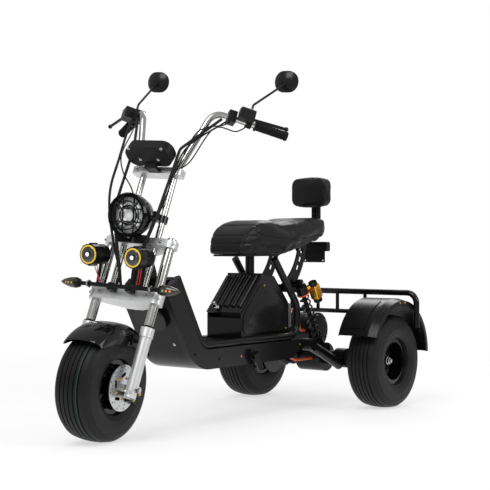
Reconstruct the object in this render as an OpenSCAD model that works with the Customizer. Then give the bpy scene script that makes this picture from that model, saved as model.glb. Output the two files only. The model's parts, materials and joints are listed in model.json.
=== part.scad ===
/* [Wheels] */
// Distance between the front and rear axles
wheelbase = 1408; // [1350:5:1500]
// Distance between the middles of the rear tyres
rear_track = 706; // [690:2:740]
// Outer diameter of every tyre
tyre_d = 406; // [396:2:416]
// Width of the front tyre
front_tyre_w = 152; // [140:2:160]
// Width of each rear tyre
rear_tyre_w = 152; // [140:2:160]
// Radius of the tread across the tyre
crown_r = 260; // [220:5:320]
// Outer diameter of the rim flanges
rim_d = 196; // [186:2:204]
// Width between the flanges of the front rim
front_rim_w = 96; // [90:2:102]
// Width between the flanges of each rear rim
rear_rim_w = 96; // [90:2:102]
// Depth of the grooves round the tread
groove_deep = 4; // [2:0.5:6]
// Number of grooves round the tread
grooves = 5; // [3:1:6]

/* [Steering] */
// Lean of the steering axis from upright, in degrees
rake = 22.6; // [22:0.2:24]
// How far the front end is turned to the left as parked, in degrees
steer_rest = 9; // [0:1:14]
// How far the fork legs stand in front of the steering axis
fork_offset = 50; // [46:1:54]
// Half the distance between the fork legs
leg_half = 129; // [124:1:134]
// Diameter of the lower fork legs
slider_d = 44; // [40:1:46]
// Diameter of the upper fork legs
stanchion_d = 36; // [32:1:38]
// Diameter of the steering stem
stem_d = 30; // [26:1:32]
// Outer diameter of the head tube
head_tube_d = 56; // [50:1:58]
// Diameter of the front axle
front_axle_d = 16; // [12:1:18]

/* [Fork heights above the axle, along the legs] */
// Top of the lower fork legs
slider_top = 228; // [220:1:240]
// Underside of the lower clamp
lower_clamp_h = 318; // [312:1:330]
// Thickness of the lower clamp
lower_clamp_t = 45; // [40:1:50]
// Underside of the upper clamp
upper_clamp_h = 538; // [530:1:550]
// Thickness of the upper clamp
upper_clamp_t = 28; // [24:1:34]
// Underside of the handlebar bracket
bar_bracket_h = 826; // [800:2:840]

/* [Handlebar] */
// Diameter of the handlebar tube
bar_d = 25; // [22:1:26]
// Half the width between the ends of the grips
bar_half = 382; // [360:2:390]
// How far the grips reach back from the fork legs
bar_back = 200; // [180:2:215]
// Height of the upper bends above the bracket
bar_rise = 284; // [270:2:300]
// Length of each grip
grip_len = 130; // [115:1:140]
// Diameter of each grip
grip_d = 34; // [32:1:38]

/* [Lamps and dash] */
// Diameter of the headlight
headlight_d = 168; // [150:2:176]
// Depth of the headlight bowl
headlight_deep = 112; // [100:2:120]
// Diameter of each spot lamp
spot_d = 78; // [70:1:84]
// Half the distance between the spot lamps
spot_half = 97; // [92:1:102]
// Width of the dash pod
dash_w = 196; // [180:2:200]

/* [Deck and frame] */
// Height of the underside of the deck
deck_low = 226; // [216:1:236]
// Height of the side rails
rail_h = 78; // [70:1:84]
// Thickness of each side rail across the vehicle
rail_t = 28; // [20:1:30]
// Width of the deck over the side rails
deck_w = 236; // [232:2:250]
// Lean of the neck from upright, in degrees
neck_lean = 29; // [28:0.5:30]
// Diameter of the bent frame tubes
frame_tube_d = 30; // [26:1:32]
// Thickness of the floor and shield panels
panel_t = 4; // [3:0.5:5]
// Thickness of the deck mat
mat_t = 4; // [3:0.5:6]

/* [Battery box] */
// Width of the battery box
box_w = 176; // [168:2:178]
// Thickness of the box walls
box_wall = 4; // [3:0.5:5]
// Height of the front wall of the box
box_front_h = 104; // [95:1:112]
// Ribs on the lid
lid_ribs = 5; // [4:1:6]

/* [Seat] */
// Height of the underside of the seat pan above the ground
seat_low = 661; // [655:1:672]
// Width of the seat at its widest
seat_w = 250; // [230:2:260]
// Width of the backrest pad
backrest_w = 196; // [180:2:210]
// Height of the backrest pad
backrest_h = 138; // [125:1:145]
// Thickness of the backrest pad
backrest_t = 58; // [50:1:64]

/* [Rear end] */
// Width of each rear fender
fender_w = 190; // [180:2:200]
// Inner radius of the rear fenders
fender_r = 240; // [234:1:246]
// Height of the fender arc's middle above the rear axle
fender_up = 30; // [26:1:36]
// Thickness of the fenders
fender_t = 3; // [2.5:0.5:4]
// Diameter of the rack's main tube
rack_d = 26; // [22:1:28]
// Diameter of the rear axle housing
housing_d = 64; // [56:1:70]
// Diameter of the drive motor
motor_d = 156; // [140:2:164]
// Diameter of the rear half shafts
shaft_d = 25; // [22:1:28]

/* [Hidden] */
$fn = 64;
fit = 0.05;
seat_gap = 0.3;

// Ground contact and overall length
tyre_r = tyre_d / 2;
lean = asin(sin(rake) * sin(steer_rest));
front_z = (tyre_r - crown_r) * cos(lean) + crown_r + fork_offset * (1 - cos(steer_rest)) * sin(rake);
nose = (tyre_r - crown_r) * sqrt(1 - pow(sin(steer_rest) * cos(rake), 2)) + crown_r
    - fork_offset * (1 - cos(steer_rest)) * cos(rake);
tail = fender_r + fender_t;
front_x = (wheelbase + tail - nose) / 2;
rear_x = front_x - wheelbase;
rear_y = rear_track / 2;

// Directions and placing
function unit(v) = v / norm(v);
function across(v) = unit(cross(abs(v[2]) < 0.9 * norm(v) ? [0, 0, 1] : [1, 0, 0], v));
function columns(x, y, z, o) =
    [for (i = [0 : 2]) [x[i], y[i], z[i], o[i]]];

module both() {
    children();
    mirror([0, 1, 0]) children();
}

module from_to(a, b) {
    w = unit(b - a);
    multmatrix(columns(across(w), cross(w, across(w)), w, a)) children();
}

module rod(a, b, d) from_to(a, b) cylinder(d = d, h = norm(b - a));

// A tube bent at each inner point of a path
function turn(path, i) = i == 0 || i == len(path) - 1 ? 0
    : acos(unit(path[i] - path[i - 1]) * unit(path[i + 1] - path[i]));
function setback(path, i, bend) = bend * tan(turn(path, i) / 2);

module elbow(a, b, c, bend) {
    u = unit(b - a);
    n = unit(cross(u, unit(c - b)));
    m = cross(n, u);
    angle = acos(u * unit(c - b));
    middle = b - u * bend * tan(angle / 2) + m * bend;
    multmatrix(columns(-m, u, n, middle)) rotate_extrude(angle = angle) translate([bend, 0]) children();
}

lap = 0.6;
elbow_d = 0.1;

module bent_tube(path, d, bend) {
    last = len(path) - 1;
    for (i = [0 : last - 1]) {
        u = unit(path[i + 1] - path[i]);
        rod(path[i] + u * (setback(path, i, bend) - (i == 0 ? 0 : lap)),
            path[i + 1] - u * (setback(path, i + 1, bend) - (i == last - 1 ? 0 : lap)), d);
    }
    for (i = [1 : last - 1]) elbow(path[i - 1], path[i], path[i + 1], bend) circle(d = d + elbow_d);
}

// Points beside a bent line in the side view, a distance out from it
bend_step = 4;
function flat(v) = [v.x, v.z];
function out_of(u) = -cross([0, 1, 0], u);
function beside(path, bend, out) = let (last = len(path) - 1) concat(
    [flat(path[0] + out_of(unit(path[1] - path[0])) * out)],
    [for (i = [1 : 1 : last - 1]) let (u = unit(path[i] - path[i - 1]), o = out_of(u), angle = turn(path, i),
        middle = path[i] - u * setback(path, i, bend) - o * bend, steps = ceil(angle / bend_step))
        for (k = [0 : steps]) flat(middle + (bend + out) * (o * cos(angle * k / steps) + u * sin(angle * k / steps)))],
    [flat(path[last] + out_of(unit(path[last] - path[last - 1])) * out)]);
function backwards(list) = [for (i = [len(list) - 1 : -1 : 0]) list[i]];

// A band along a bent line in the side view, between two distances out from it
module band(path, bend, from, to) polygon(concat(beside(path, bend, from), backwards(beside(path, bend, to))));

// A rectangle with round corners, about its middle
module round_rect(w, h, r) {
    square([w - 2 * r, h], center = true);
    square([w, h - 2 * r], center = true);
    for (x = [-1, 1], y = [-1, 1]) translate([x * (w / 2 - r), y * (h / 2 - r)]) circle(r);
}

// A flat outline in the side view, pulled across the vehicle between two places
module side_plate(y0, y1) translate([0, y1, 0]) rotate([90, 0, 0]) linear_extrude(y1 - y0) children();

// The front end as parked: origin at the wheel, z along the fork legs, x forwards, y to the left
module steered() {
    translate([front_x, 0, front_z]) rotate([0, -rake, 0]) translate([-fork_offset, 0, 0])
        rotate([0, 0, steer_rest]) translate([fork_offset, 0, 0]) children();
}

module steering_straight() translate([front_x, 0, front_z]) rotate([0, -rake, 0]) children();

// Deck line in the side view, from the top of the neck to the rear
deck_mid = deck_low + rail_h / 2;
deck_top = deck_low + rail_h;
neck_foot_x = front_x - 422;
neck_top_z = 560;
deck_rear_x = rear_x + 379;
deck_bend = 110;
deck_path = [[neck_foot_x + (neck_top_z - deck_mid) * tan(neck_lean), 0, neck_top_z], [neck_foot_x, 0, deck_mid],
    [deck_rear_x, 0, deck_mid]];
neck_path = [deck_path[0] + unit(deck_path[0] - deck_path[1]) * seat_gap, deck_path[1], deck_path[2]];
rail_y = deck_w / 2 - rail_t;
tube_y = deck_w / 2 - frame_tube_d / 2;
tube_in = rail_h / 2 + frame_tube_d / 2 + seat_gap;
floor_rise = 18;
floor_z = deck_top + floor_rise;

pivot_d = 20;
ear_d = 44;
pivot = [rear_x + 270, 0, deck_top - ear_d / 2 - 1];

// Pressed rails on both sides, from the neck to the rear pivot, cut away where a fork leg comes at full lock
steer_limit = 35;
turn_room = 7;
module side_rails() color([0.15, 0.15, 0.16]) both() difference() {
    union() {
        side_plate(rail_y, rail_y + rail_t) {
            band(deck_path, deck_bend, -rail_h / 2, rail_h / 2);
            intersection() {
                translate([deck_rear_x, deck_top]) circle(rail_h);
                translate([deck_rear_x - rail_h, deck_low]) square([rail_h + 1, rail_h]);
            }
            polygon([[deck_rear_x, deck_top], [pivot.x, pivot.z + ear_d / 2], [pivot.x, pivot.z - ear_d / 2],
                [deck_rear_x - rail_h / 2, deck_low + rail_h / 4]]);
            translate([pivot.x, pivot.z]) circle(d = ear_d);
        }
    }
    translate([pivot.x, 0, pivot.z]) rotate([-90, 0, 0]) cylinder(d = pivot_d + 2 * fit, h = deck_w);
    steering_straight() translate([-fork_offset, 0, 0]) rotate([0, 0, steer_limit])
        translate([fork_offset, leg_half, slider_top]) cylinder(d = stanchion_d + 2 * turn_room, h = upper_clamp_h);
}

panel_y = tube_y - frame_tube_d / 2 - seat_gap;

// Tray that carries the feet, between the frame tubes
module floor_panel() color([0.1, 0.1, 0.11])
    side_plate(-panel_y, panel_y) band(deck_path, deck_bend, -rail_h / 2 - floor_rise, -rail_h / 2 + panel_t);

// Curved skin on the front of the neck and under the deck
module leg_shield() color([0.06, 0.06, 0.065])
    side_plate(-rail_y + seat_gap, rail_y - seat_gap) band(deck_path, deck_bend, rail_h / 2 - panel_t, rail_h / 2);

// A place on the front of the neck, at a height
function neck_front(z) = [neck_foot_x + (z - deck_mid) * tan(neck_lean) + rail_h / 2 / cos(neck_lean), 0, z];
horn_z = 436;
horn_w = 148;
horn_h = 104;
horn_t = 16;

// Rounded horn on the front of the neck
module horn() color([0.04, 0.04, 0.045])
    translate(neck_front(horn_z)) rotate([0, neck_lean, 0]) rotate([90, 0, 90]) translate([0, 0, seat_gap])
        linear_extrude(horn_t) round_rect(horn_w, horn_h, horn_h * 0.42);

neck_in = [-cos(neck_lean), 0, sin(neck_lean)];
loop_x = rear_x + 304;
loop_top_z = 452;
tube_bend = deck_bend - tube_in;
tube_top = [rear_x + 470, 0, seat_low - frame_tube_d / 2 * 0.72];
cross_tube = [rear_x + 352, 0, 528];
frame_path = [deck_path[0] + neck_in * tube_in,
    [neck_foot_x - tube_in * tan((90 - neck_lean) / 2), 0, deck_mid + tube_in],
    [loop_x, 0, deck_mid + tube_in], [loop_x, 0, loop_top_z], tube_top];

// Bent tubes along the deck's edges, round the battery box and up to the seat, with the cross tube
module frame_tubes() color([0.05, 0.05, 0.055]) {
    both() translate([0, tube_y, 0]) bent_tube(frame_path, frame_tube_d, tube_bend);
    translate([cross_tube.x, -tube_y, cross_tube.z]) rotate([-90, 0, 0]) cylinder(d = 24, h = 2 * tube_y);
}

head_low = lower_clamp_h + lower_clamp_t + 5;
head_high = upper_clamp_h - 5;

// Steering head with its bearing cups and the gusset to the neck
module head_tube() color([0.05, 0.05, 0.055]) difference() {
    union() {
        steering_straight() translate([-fork_offset, 0, head_low]) {
            cylinder(d = head_tube_d, h = head_high - head_low);
            for (z = [0, head_high - head_low - 14]) translate([0, 0, z]) cylinder(d = head_tube_d + 8, h = 14);
        }
        side_plate(-rail_y + 2 * seat_gap, rail_y - 2 * seat_gap) polygon([
            [deck_path[0].x - 44, neck_top_z - 6], [deck_path[0].x + 8, neck_top_z + 20],
            [deck_path[0].x + 24, neck_top_z + 6], [deck_path[0].x - 6, neck_top_z - 48],
            [deck_path[0].x - 60, neck_top_z - 36]]);
        side_plate(-14, 14) polygon([
            [deck_path[0].x - 40, neck_top_z - 40], [deck_path[0].x - 36, neck_top_z + 40],
            [deck_path[0].x - 18, neck_top_z + 88], [deck_path[0].x + 34, neck_top_z - 4],
            [deck_path[0].x, neck_top_z - 40]]);
    }
    steering_straight() translate([-fork_offset, 0, head_low - 50]) cylinder(d = stem_d + 2 * fit, h = head_high);
    side_plate(-deck_w, deck_w) {
        band(neck_path, deck_bend, -rail_h / 2 - floor_rise - seat_gap, -rail_h / 2 + panel_t + seat_gap);
        band(neck_path, deck_bend, rail_h / 2 - panel_t - seat_gap, rail_h / 2 + seat_gap);
    }
}

box_front_x = rear_x + 680;
mat_front = neck_foot_x - 110;
mat_rear = box_front_x + 8;

// Rubber mat in front of the battery box, with raised cross ribs
module deck_mat() color([0.08, 0.08, 0.08]) {
    translate([mat_rear, -panel_y + 4, floor_z + seat_gap]) cube([mat_front - mat_rear, 2 * panel_y - 8, mat_t - 1]);
    for (x = [mat_rear + 10 : 16 : mat_front - 10]) translate([x, -panel_y + 10, floor_z + mat_t - 1])
        cube([7, 2 * panel_y - 20, 2]);
}

// Outline of the battery box in the side view
box_low = floor_z + seat_gap;
box_crest = [rear_x + 538, 578];
box_rear_x = rear_x + 346;

module box_outline(in) polygon([[box_front_x - in, box_low + in], [box_front_x - in, box_low + box_front_h],
    [box_crest.x - in / 2, box_crest.y - in], [rear_x + 452, box_crest.y - in], [box_rear_x + in, 462],
    [box_rear_x + in, 352], [box_rear_x + 30 + in, box_low + in]]);

hinge = [box_crest.x, 0, box_crest.y + 6.5];
hinge_d = 12;
hinge_pin_d = 5;
lug_y = box_w / 2 - box_wall;

// Hollow box with its sloped side open under the lid
module box_shell() color([0.2, 0.2, 0.21]) {
    difference() {
        side_plate(-box_w / 2, box_w / 2) box_outline(0);
        side_plate(-box_w / 2 + box_wall, box_w / 2 - box_wall) {
            box_outline(box_wall);
            polygon([[box_front_x - box_wall, box_low + box_front_h - 20], [box_front_x - box_wall, box_crest.y],
                [box_front_x + 20, box_crest.y], [box_front_x + 20, box_low + box_front_h + 5]]);
            polygon([[box_front_x - box_wall, box_low + 30], [box_front_x - box_wall, box_low + box_front_h + 20],
                [box_crest.x + 1, box_crest.y + 1], [box_crest.x - box_wall, box_crest.y - box_wall - 10]]);
        }
    }
    both() side_plate(lug_y, box_w / 2) polygon([[hinge.x - 7, box_crest.y - 1], [hinge.x - 7, hinge.z + 6],
        [hinge.x + 4, hinge.z + 6], [hinge.x + 6, box_crest.y - 12]]);
    translate([hinge.x, -lug_y - 1, hinge.z]) rotate([-90, 0, 0]) cylinder(d = hinge_pin_d, h = 2 * lug_y + 2);
}

// Heavy battery block inside the box
battery_wall = 6;
module battery() color([0.25, 0.25, 0.28])
    translate([box_rear_x + 50, -box_w / 2 + box_wall + battery_wall, box_low + box_wall + seat_gap])
        cube([240, box_w - 2 * (box_wall + battery_wall), 120]);

lid_slope = atan2(box_crest.y - box_low - box_front_h, box_front_x - box_crest.x);
lid_len = norm([box_front_x - box_crest.x, box_crest.y - box_low - box_front_h]) + 4;
lid_t = 5;
rib_d = 22;
rib_pitch = (box_w - 12) / lid_ribs;

// Sloped lid with rounded ribs, hinged at its upper edge, with its lock at the lower edge
module box_lid() color([0.16, 0.16, 0.17]) difference() {
    union() {
        translate([hinge.x, -lug_y + 1, hinge.z]) rotate([-90, 0, 0]) cylinder(d = hinge_d, h = 2 * lug_y - 2);
        translate([hinge.x, 0, hinge.z]) rotate([0, lid_slope, 0]) {
            translate([0, -lug_y + 3, 0]) cube([20, 2 * lug_y - 6, lid_t]);
            translate([12, -box_w / 2, 0]) cube([lid_len - 12, box_w, lid_t]);
            for (i = [0 : lid_ribs - 1]) translate([14, (i - (lid_ribs - 1) / 2) * rib_pitch, lid_t]) {
                intersection() {
                    rotate([0, 90, 0]) cylinder(d = rib_d, h = lid_len - 44);
                    translate([-1, -rib_d, -1]) cube([lid_len, 2 * rib_d, rib_d]);
                }
            }
            translate([lid_len - 18, -34, 0]) cylinder(d = 22, h = lid_t + 8);
        }
    }
    translate([hinge.x, -box_w, hinge.z]) rotate([-90, 0, 0]) cylinder(d = hinge_pin_d + 2 * fit, h = 2 * box_w);
}

seat_post_x = rear_x + 503;
seat_post_d = 38;
module seat_post() color([0.04, 0.04, 0.04]) {
    translate([seat_post_x, 0, box_crest.y + seat_gap]) cylinder(d = seat_post_d, h = seat_low - box_crest.y - 2 * seat_gap);
    translate([seat_post_x - 8, 0, box_crest.y + seat_gap]) cylinder(d = seat_post_d + 20, h = 6);
}

pan_w = 136;
pan_t = 8;
pan_rear = [rear_x + 110, seat_low + 66];
pan_bend = [rear_x + 222, seat_low + 46];
function pan_under(x) = pan_rear.y - (x - pan_rear.x) * (pan_rear.y - pan_bend.y) / (pan_bend.x - pan_rear.x);
module pan_line(t) polygon([[rear_x + 664, seat_low], [rear_x + 664, seat_low + t], [rear_x + 396, seat_low + t],
    pan_bend + [0, t], pan_rear + [0, t], pan_rear, pan_bend, [rear_x + 396, seat_low]]);
module seat_pan() color([0.04, 0.04, 0.04]) side_plate(-pan_w / 2, pan_w / 2) pan_line(pan_t);

pad_low = seat_low + pan_t + seat_gap;
module seat_cushion() color([0.07, 0.07, 0.07]) intersection() {
    side_plate(-seat_w / 2, seat_w / 2) polygon([[rear_x + 666, pad_low], [rear_x + 688, pad_low + 14],
        [rear_x + 668, pad_low + 68], [rear_x + 614, pad_low + 114], [rear_x + 556, pad_low + 134],
        [rear_x + 492, pad_low + 139], [rear_x + 410, pad_low + 131], [rear_x + 310, pad_low + 138],
        [rear_x + 210, pad_low + 151], [rear_x + 110, pad_low + 155], [rear_x + 64, pad_low + 146],
        [rear_x + 50, pad_low + 112], [rear_x + 72, pad_low + 80], [pan_rear.x, pad_low + 78],
        [pan_bend.x, pad_low + 47], [rear_x + 396, pad_low + 1]]);
    linear_extrude(2000) polygon([[rear_x + 690, -82], [rear_x + 690, 82], [rear_x + 640, 100], [rear_x + 556, 108],
        [rear_x + 310, seat_w / 2], [rear_x + 110, seat_w / 2], [rear_x + 44, 84], [rear_x + 44, -84],
        [rear_x + 110, -seat_w / 2], [rear_x + 310, -seat_w / 2], [rear_x + 556, -108], [rear_x + 640, -100]]);
}

post_d = 22;
post_x = rear_x - 3;
post_z = pan_rear.y + pan_t / 2 + 4;
backrest_z = 876;
module backrest_post() color([0.05, 0.05, 0.05]) both() translate([0, post_d / 2 + 1, 0])
    bent_tube([[pan_rear.x - seat_gap, 0, post_z], [post_x, 0, post_z], [post_x, 0, backrest_z + backrest_h - 30]],
        post_d, 40);

module backrest_pad() color([0.06, 0.06, 0.06])
    translate([post_x + post_d / 2 + seat_gap, 0, backrest_z + backrest_h / 2]) rotate([90, 0, 90])
        linear_extrude(backrest_t) round_rect(backrest_w, backrest_h, 40);

plate_y = pan_w / 2 + seat_gap;
plate_t = 6;
shock_top = [rear_x + 280, 0, 545];
shock_low = [rear_x + 118, 0, 262];
shock_y = 100;
shock_pin_d = 10;

// Curved plates with slots, from the seat pan down to the cross tube and the tops of the shocks
module seat_brackets() color([0.05, 0.05, 0.05]) both() {
    difference() {
        side_plate(plate_y, plate_y + plate_t) difference() {
            union() {
                intersection() {
                    translate([rear_x + 470, 745]) difference() {
                        circle(285);
                        circle(225);
                    }
                    polygon([[rear_x + 150, 540], [rear_x + 420, 540], [rear_x + 396, seat_low + pan_t - 1],
                        [rear_x + 222, seat_low + pan_t + 45], [pan_rear.x, pan_rear.y + pan_t - 1]]);
                }
                translate([shock_top.x, shock_top.z]) circle(20);
                polygon([[shock_top.x, shock_top.z - 20], [cross_tube.x, cross_tube.z - 20],
                    [cross_tube.x, cross_tube.z + 20], [shock_top.x, shock_top.z + 20]]);
                translate([cross_tube.x, cross_tube.z]) circle(20);
            }
            for (a = [194, 203, 212]) translate([rear_x + 470 + 255 * cos(a), 745 + 255 * sin(a)])
                rotate(a - 90) round_rect(26, 16, 7);
        }
        translate([cross_tube.x, 0, cross_tube.z]) rotate([-90, 0, 0]) cylinder(d = 24 + 2 * fit, h = 200);
    }
    translate([shock_top.x, plate_y + 1, shock_top.z]) rotate([-90, 0, 0])
        cylinder(d = shock_pin_d, h = shock_y + 18 - plate_y);
}

lamp_x = rear_x + 12;
lamp_w = 170;
lamp_z = 679;
lamp_h = 43;
lamp_arm_x = pan_rear.x + 20;
lamp_arm_z = lamp_z + lamp_h - 12;
lamp_arm_w = 36;
bracket_w = 116;
bracket_h = 50;
plate_hole_d = 7;
plate_hole_pitch = 95;

// Tail lamp bar under the rear of the seat, with the ribbed plate bracket below it
module tail_lamp() color([0.05, 0.05, 0.05]) difference() {
    union() {
        translate([lamp_x, 0, lamp_z + lamp_h / 2]) rotate([90, 0, 90]) linear_extrude(28) round_rect(lamp_w, lamp_h, 8);
        translate([lamp_x, -bracket_w / 2, lamp_z - bracket_h]) cube([4, bracket_w, bracket_h + 4]);
        for (i = [-3 : 3]) translate([lamp_x - 4, i * 10 - 3, lamp_z - bracket_h + 12]) cube([6, 6, bracket_h - 14]);
        translate([lamp_x + 10, -lamp_arm_w / 2, lamp_arm_z]) cube([lamp_arm_x - lamp_x - 10, lamp_arm_w, 8]);
        translate([lamp_arm_x - 16, -lamp_arm_w / 2, lamp_arm_z])
            cube([16, lamp_arm_w, pan_under(lamp_arm_x) - seat_gap - lamp_arm_z]);
    }
    for (y = [-1, 1]) translate([lamp_x - 10, y * plate_hole_pitch / 2, lamp_z - bracket_h + 9]) rotate([0, 90, 0])
        cylinder(d = plate_hole_d, h = 20);
}

arm_d = 45;
sleeve_wall = 4;
arm_sleeve = 52;
arm_y = deck_w / 2 + arm_sleeve / 2 + seat_gap;
axle = [rear_x, 0, tyre_r];
ring_d = housing_d + 22;
arm_path = [pivot, [rear_x + 171, 0, 240], [rear_x + 30, 0, tyre_r - 28]];

// Fat tubes from the rear pivot to the axle housing, with the lower eyes of the shocks and the pivot shaft
module rear_arms() color([0.05, 0.05, 0.055]) {
    both() difference() {
        union() {
            translate([0, arm_y, 0]) bent_tube(arm_path, arm_d, 90);
            translate([axle.x, arm_y - arm_sleeve / 2, axle.z]) rotate([-90, 0, 0]) cylinder(d = ring_d, h = arm_sleeve);
            translate([pivot.x, arm_y - arm_sleeve / 2, pivot.z]) rotate([-90, 0, 0])
                cylinder(d = arm_d + 2 * sleeve_wall, h = arm_sleeve);
            side_plate(shock_y + 13, arm_y - 4) {
                translate([shock_low.x, shock_low.z]) circle(16);
                polygon([[shock_low.x - 16, shock_low.z], [shock_low.x + 16, shock_low.z],
                    [shock_low.x + 28, tyre_r + 16], [shock_low.x - 28, tyre_r - 4]]);
            }
            translate([shock_low.x, shock_y - 16, shock_low.z]) rotate([-90, 0, 0]) cylinder(d = shock_pin_d, h = 40);
        }
        translate([axle.x, 0, axle.z]) rotate([-90, 0, 0]) cylinder(d = housing_d + 2 * fit, h = 400);
    }
    translate([pivot.x, -arm_y, pivot.z]) rotate([-90, 0, 0]) cylinder(d = pivot_d, h = 2 * arm_y);
}

motor = [rear_x + 74, 0, tyre_r + 125];
gear_d = 128;
cover_y = -50;
cover_t = 20;
motor_len = 112;
disc_y = 232;
disc_r = 88;
housing_half = disc_y - 6;

// Axle tube with the gear case and its cover beside the motor
module axle_housing() color([0.04, 0.04, 0.045]) difference() {
    union() {
        translate([axle.x, -housing_half, axle.z]) rotate([-90, 0, 0]) cylinder(d = housing_d, h = 2 * housing_half);
        translate([axle.x, cover_y - cover_t, axle.z]) rotate([-90, 0, 0]) cylinder(d = gear_d, h = 130);
        side_plate(cover_y - cover_t, cover_y - seat_gap) {
            translate([motor.x, motor.z]) circle(d = motor_d * 0.8);
            polygon([[axle.x - 50, axle.z + 40], [axle.x + 55, axle.z - 32], [motor.x + 55, motor.z - 30],
                [motor.x - 50, motor.z + 36]]);
        }
    }
    both() translate([axle.x, 60, axle.z]) rotate([-90, 0, 0]) cylinder(d = shaft_d + 2 * fit, h = 300);
}

// Round drive motor in front of the axle, ribbed round its middle
module drive_motor() color([0.05, 0.05, 0.05]) translate([motor.x, cover_y, motor.z]) rotate([-90, 0, 0]) {
    cylinder(d = motor_d, h = motor_len);
    translate([0, 0, motor_len]) cylinder(d = motor_d - 30, h = 6);
}

shock_dir = unit(shock_low - shock_top);
shock_len = norm(shock_low - shock_top);
cap_d = 50;
spring_d = 48;
spring_wire = 8;
spring_from = 62;
spring_to = shock_len - 44;

// Dampers with an eye at each end, a top cap and a lower spring plate
module shock_bodies() color([0.1, 0.1, 0.1]) both() translate([0, shock_y, 0]) difference() {
    union() {
        for (p = [shock_top, shock_low]) translate(p) rotate([-90, 0, 0]) translate([0, 0, -12]) cylinder(d = 30, h = 24);
        rod(shock_top + shock_dir * 10, shock_low - shock_dir * 10, 20);
        rod(shock_top + shock_dir * 16, shock_top + shock_dir * (spring_from - spring_wire / 2 - seat_gap), cap_d);
        rod(shock_low - shock_dir * 16, shock_low - shock_dir * 39, 46);
    }
    for (p = [shock_top, shock_low]) translate(p) rotate([-90, 0, 0]) translate([0, 0, -20])
        cylinder(d = shock_pin_d + 2 * fit, h = 40);
}

// Points of a coil spring swept as one solid
coil_turns = 8;
coil_steps = 14;
coil_sides = 6;
coil_n = coil_turns * coil_steps;
function coil_point(i, j) = let (a = 360 * i / coil_steps, b = 360 * j / coil_sides,
    r = (spring_d - spring_wire) / 2 + spring_wire / 2 * cos(b))
    [r * cos(a), r * sin(a), spring_from + (spring_to - spring_from) * i / coil_n + spring_wire / 2 * sin(b)];

module coil() polyhedron(
    [for (i = [0 : coil_n], j = [0 : coil_sides - 1]) coil_point(i, j)],
    concat([[for (j = [0 : coil_sides - 1]) j]],
        [for (i = [0 : coil_n - 1], j = [0 : coil_sides - 1]) let (k = (j + 1) % coil_sides)
            [i * coil_sides + j, (i + 1) * coil_sides + j, (i + 1) * coil_sides + k, i * coil_sides + k]],
        [[for (j = [coil_sides - 1 : -1 : 0]) coil_n * coil_sides + j]]));

module shock_springs() color([0.03, 0.03, 0.03]) both() translate([0, shock_y, 0]) from_to(shock_top, shock_low) coil();

bottle_d = 36;
bottle_h = 96;
bottle_out = 56;
bottle_turn = 128;

// Gold gas bottles behind the dampers, each on an arm from the top cap
module shock_reservoirs() color([0.85, 0.65, 0.1]) both() translate([0, shock_y, 0])
    from_to(shock_top, shock_low) translate([0, 0, 22]) rotate(bottle_turn) {
        translate([bottle_out, 0, 0]) cylinder(d = bottle_d, h = bottle_h);
        translate([cap_d / 2 + seat_gap, -8, 8]) cube([bottle_out - cap_d / 2, 16, 14]);
    }

controller_w = 116;
module controller() color([0.5, 0.5, 0.52]) {
    translate([box_rear_x - seat_gap - 60, -controller_w / 2, 352]) cube([60, controller_w, 104]);
    for (i = [0 : 8]) translate([box_rear_x - 70, -controller_w / 2 + 4 + i * 13, 356]) cube([12, 4, 96]);
}

cable_d = 12;
// Thick orange leads from the controller to the motor and the gear case
module power_cables() color([0.9, 0.25, 0.08]) {
    bent_tube([[box_rear_x - 70 - seat_gap, 40, 425], [rear_x + 205, 40, 425], [rear_x + 190, 40, 330],
        [motor.x + motor_d / 2 + seat_gap, 40, 330]], cable_d, 26);
    bent_tube([[rear_x + 302, 20, 352 - seat_gap], [rear_x + 302, 20, 236], [rear_x + 190, 20, 200],
        [rear_x + gear_d / 2 + seat_gap, 20, 200]], cable_d, 40);
}

// Rear fenders: an arch with a bevelled outer edge and a raised panel at the front
module fender_section(y0, y1, t) polygon([[fender_r - 26, y1 + 2], [fender_r - 26 + t, y1 + 2 + t],
    [fender_r - 6, y1 + t], [fender_r + t, y1 - 34], [fender_r + t, y0 + 6], [fender_r - 8, y0],
    [fender_r - 8 - t, y0 + t], [fender_r, y0 + 6 + t], [fender_r, y1 - 36], [fender_r - 8, y1 - 2]]);

module rear_fenders() color([0.1, 0.1, 0.105]) both()
    translate([axle.x, rear_y, axle.z + fender_up]) rotate([90, 0, 0]) rotate([0, 0, 22]) mirror([0, 0, 1]) {
        rotate_extrude(angle = 158) fender_section(-fender_w / 2, fender_w / 2 - 4, fender_t);
        rotate([0, 0, 8]) rotate_extrude(angle = 42) translate([fender_r + fender_t - 1, -fender_w / 2 + 26])
            square([4, fender_w - 88]);
    }

rack_x = rear_x - 100;
rack_z = 497;
rack_y = rear_y + fender_w / 2 + rack_d / 2 + 1;
rail_low_z = 406;

// Tube hoop over the fenders with a lower rail, posts and stays down to the axle housing
module cargo_rack() color([0.03, 0.03, 0.03]) difference() {
    union() {
        bent_tube([[rack_x, -rack_y, 345], [rack_x, -rack_y, rack_z], [rack_x, rack_y, rack_z], [rack_x, rack_y, 345]],
            rack_d, 46);
        translate([rack_x, -rear_y + fender_w / 2 - 4, rail_low_z]) rotate([-90, 0, 0])
            cylinder(d = 20, h = 2 * rear_y - fender_w + 8);
        for (y = [-200, -53, 53, 200]) translate([rack_x, y, rail_low_z]) cylinder(d = 16, h = rack_z - rail_low_z);
        both() bent_tube([[axle.x - 20, 190, axle.z + 20], [rack_x, 190, axle.z + 110], [rack_x, 190, rail_low_z]], 18, 50);
    }
    translate([axle.x, -400, axle.z]) rotate([-90, 0, 0]) cylinder(d = housing_d + 2 * seat_gap, h = 800);
}

peg_d = 26;
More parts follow.
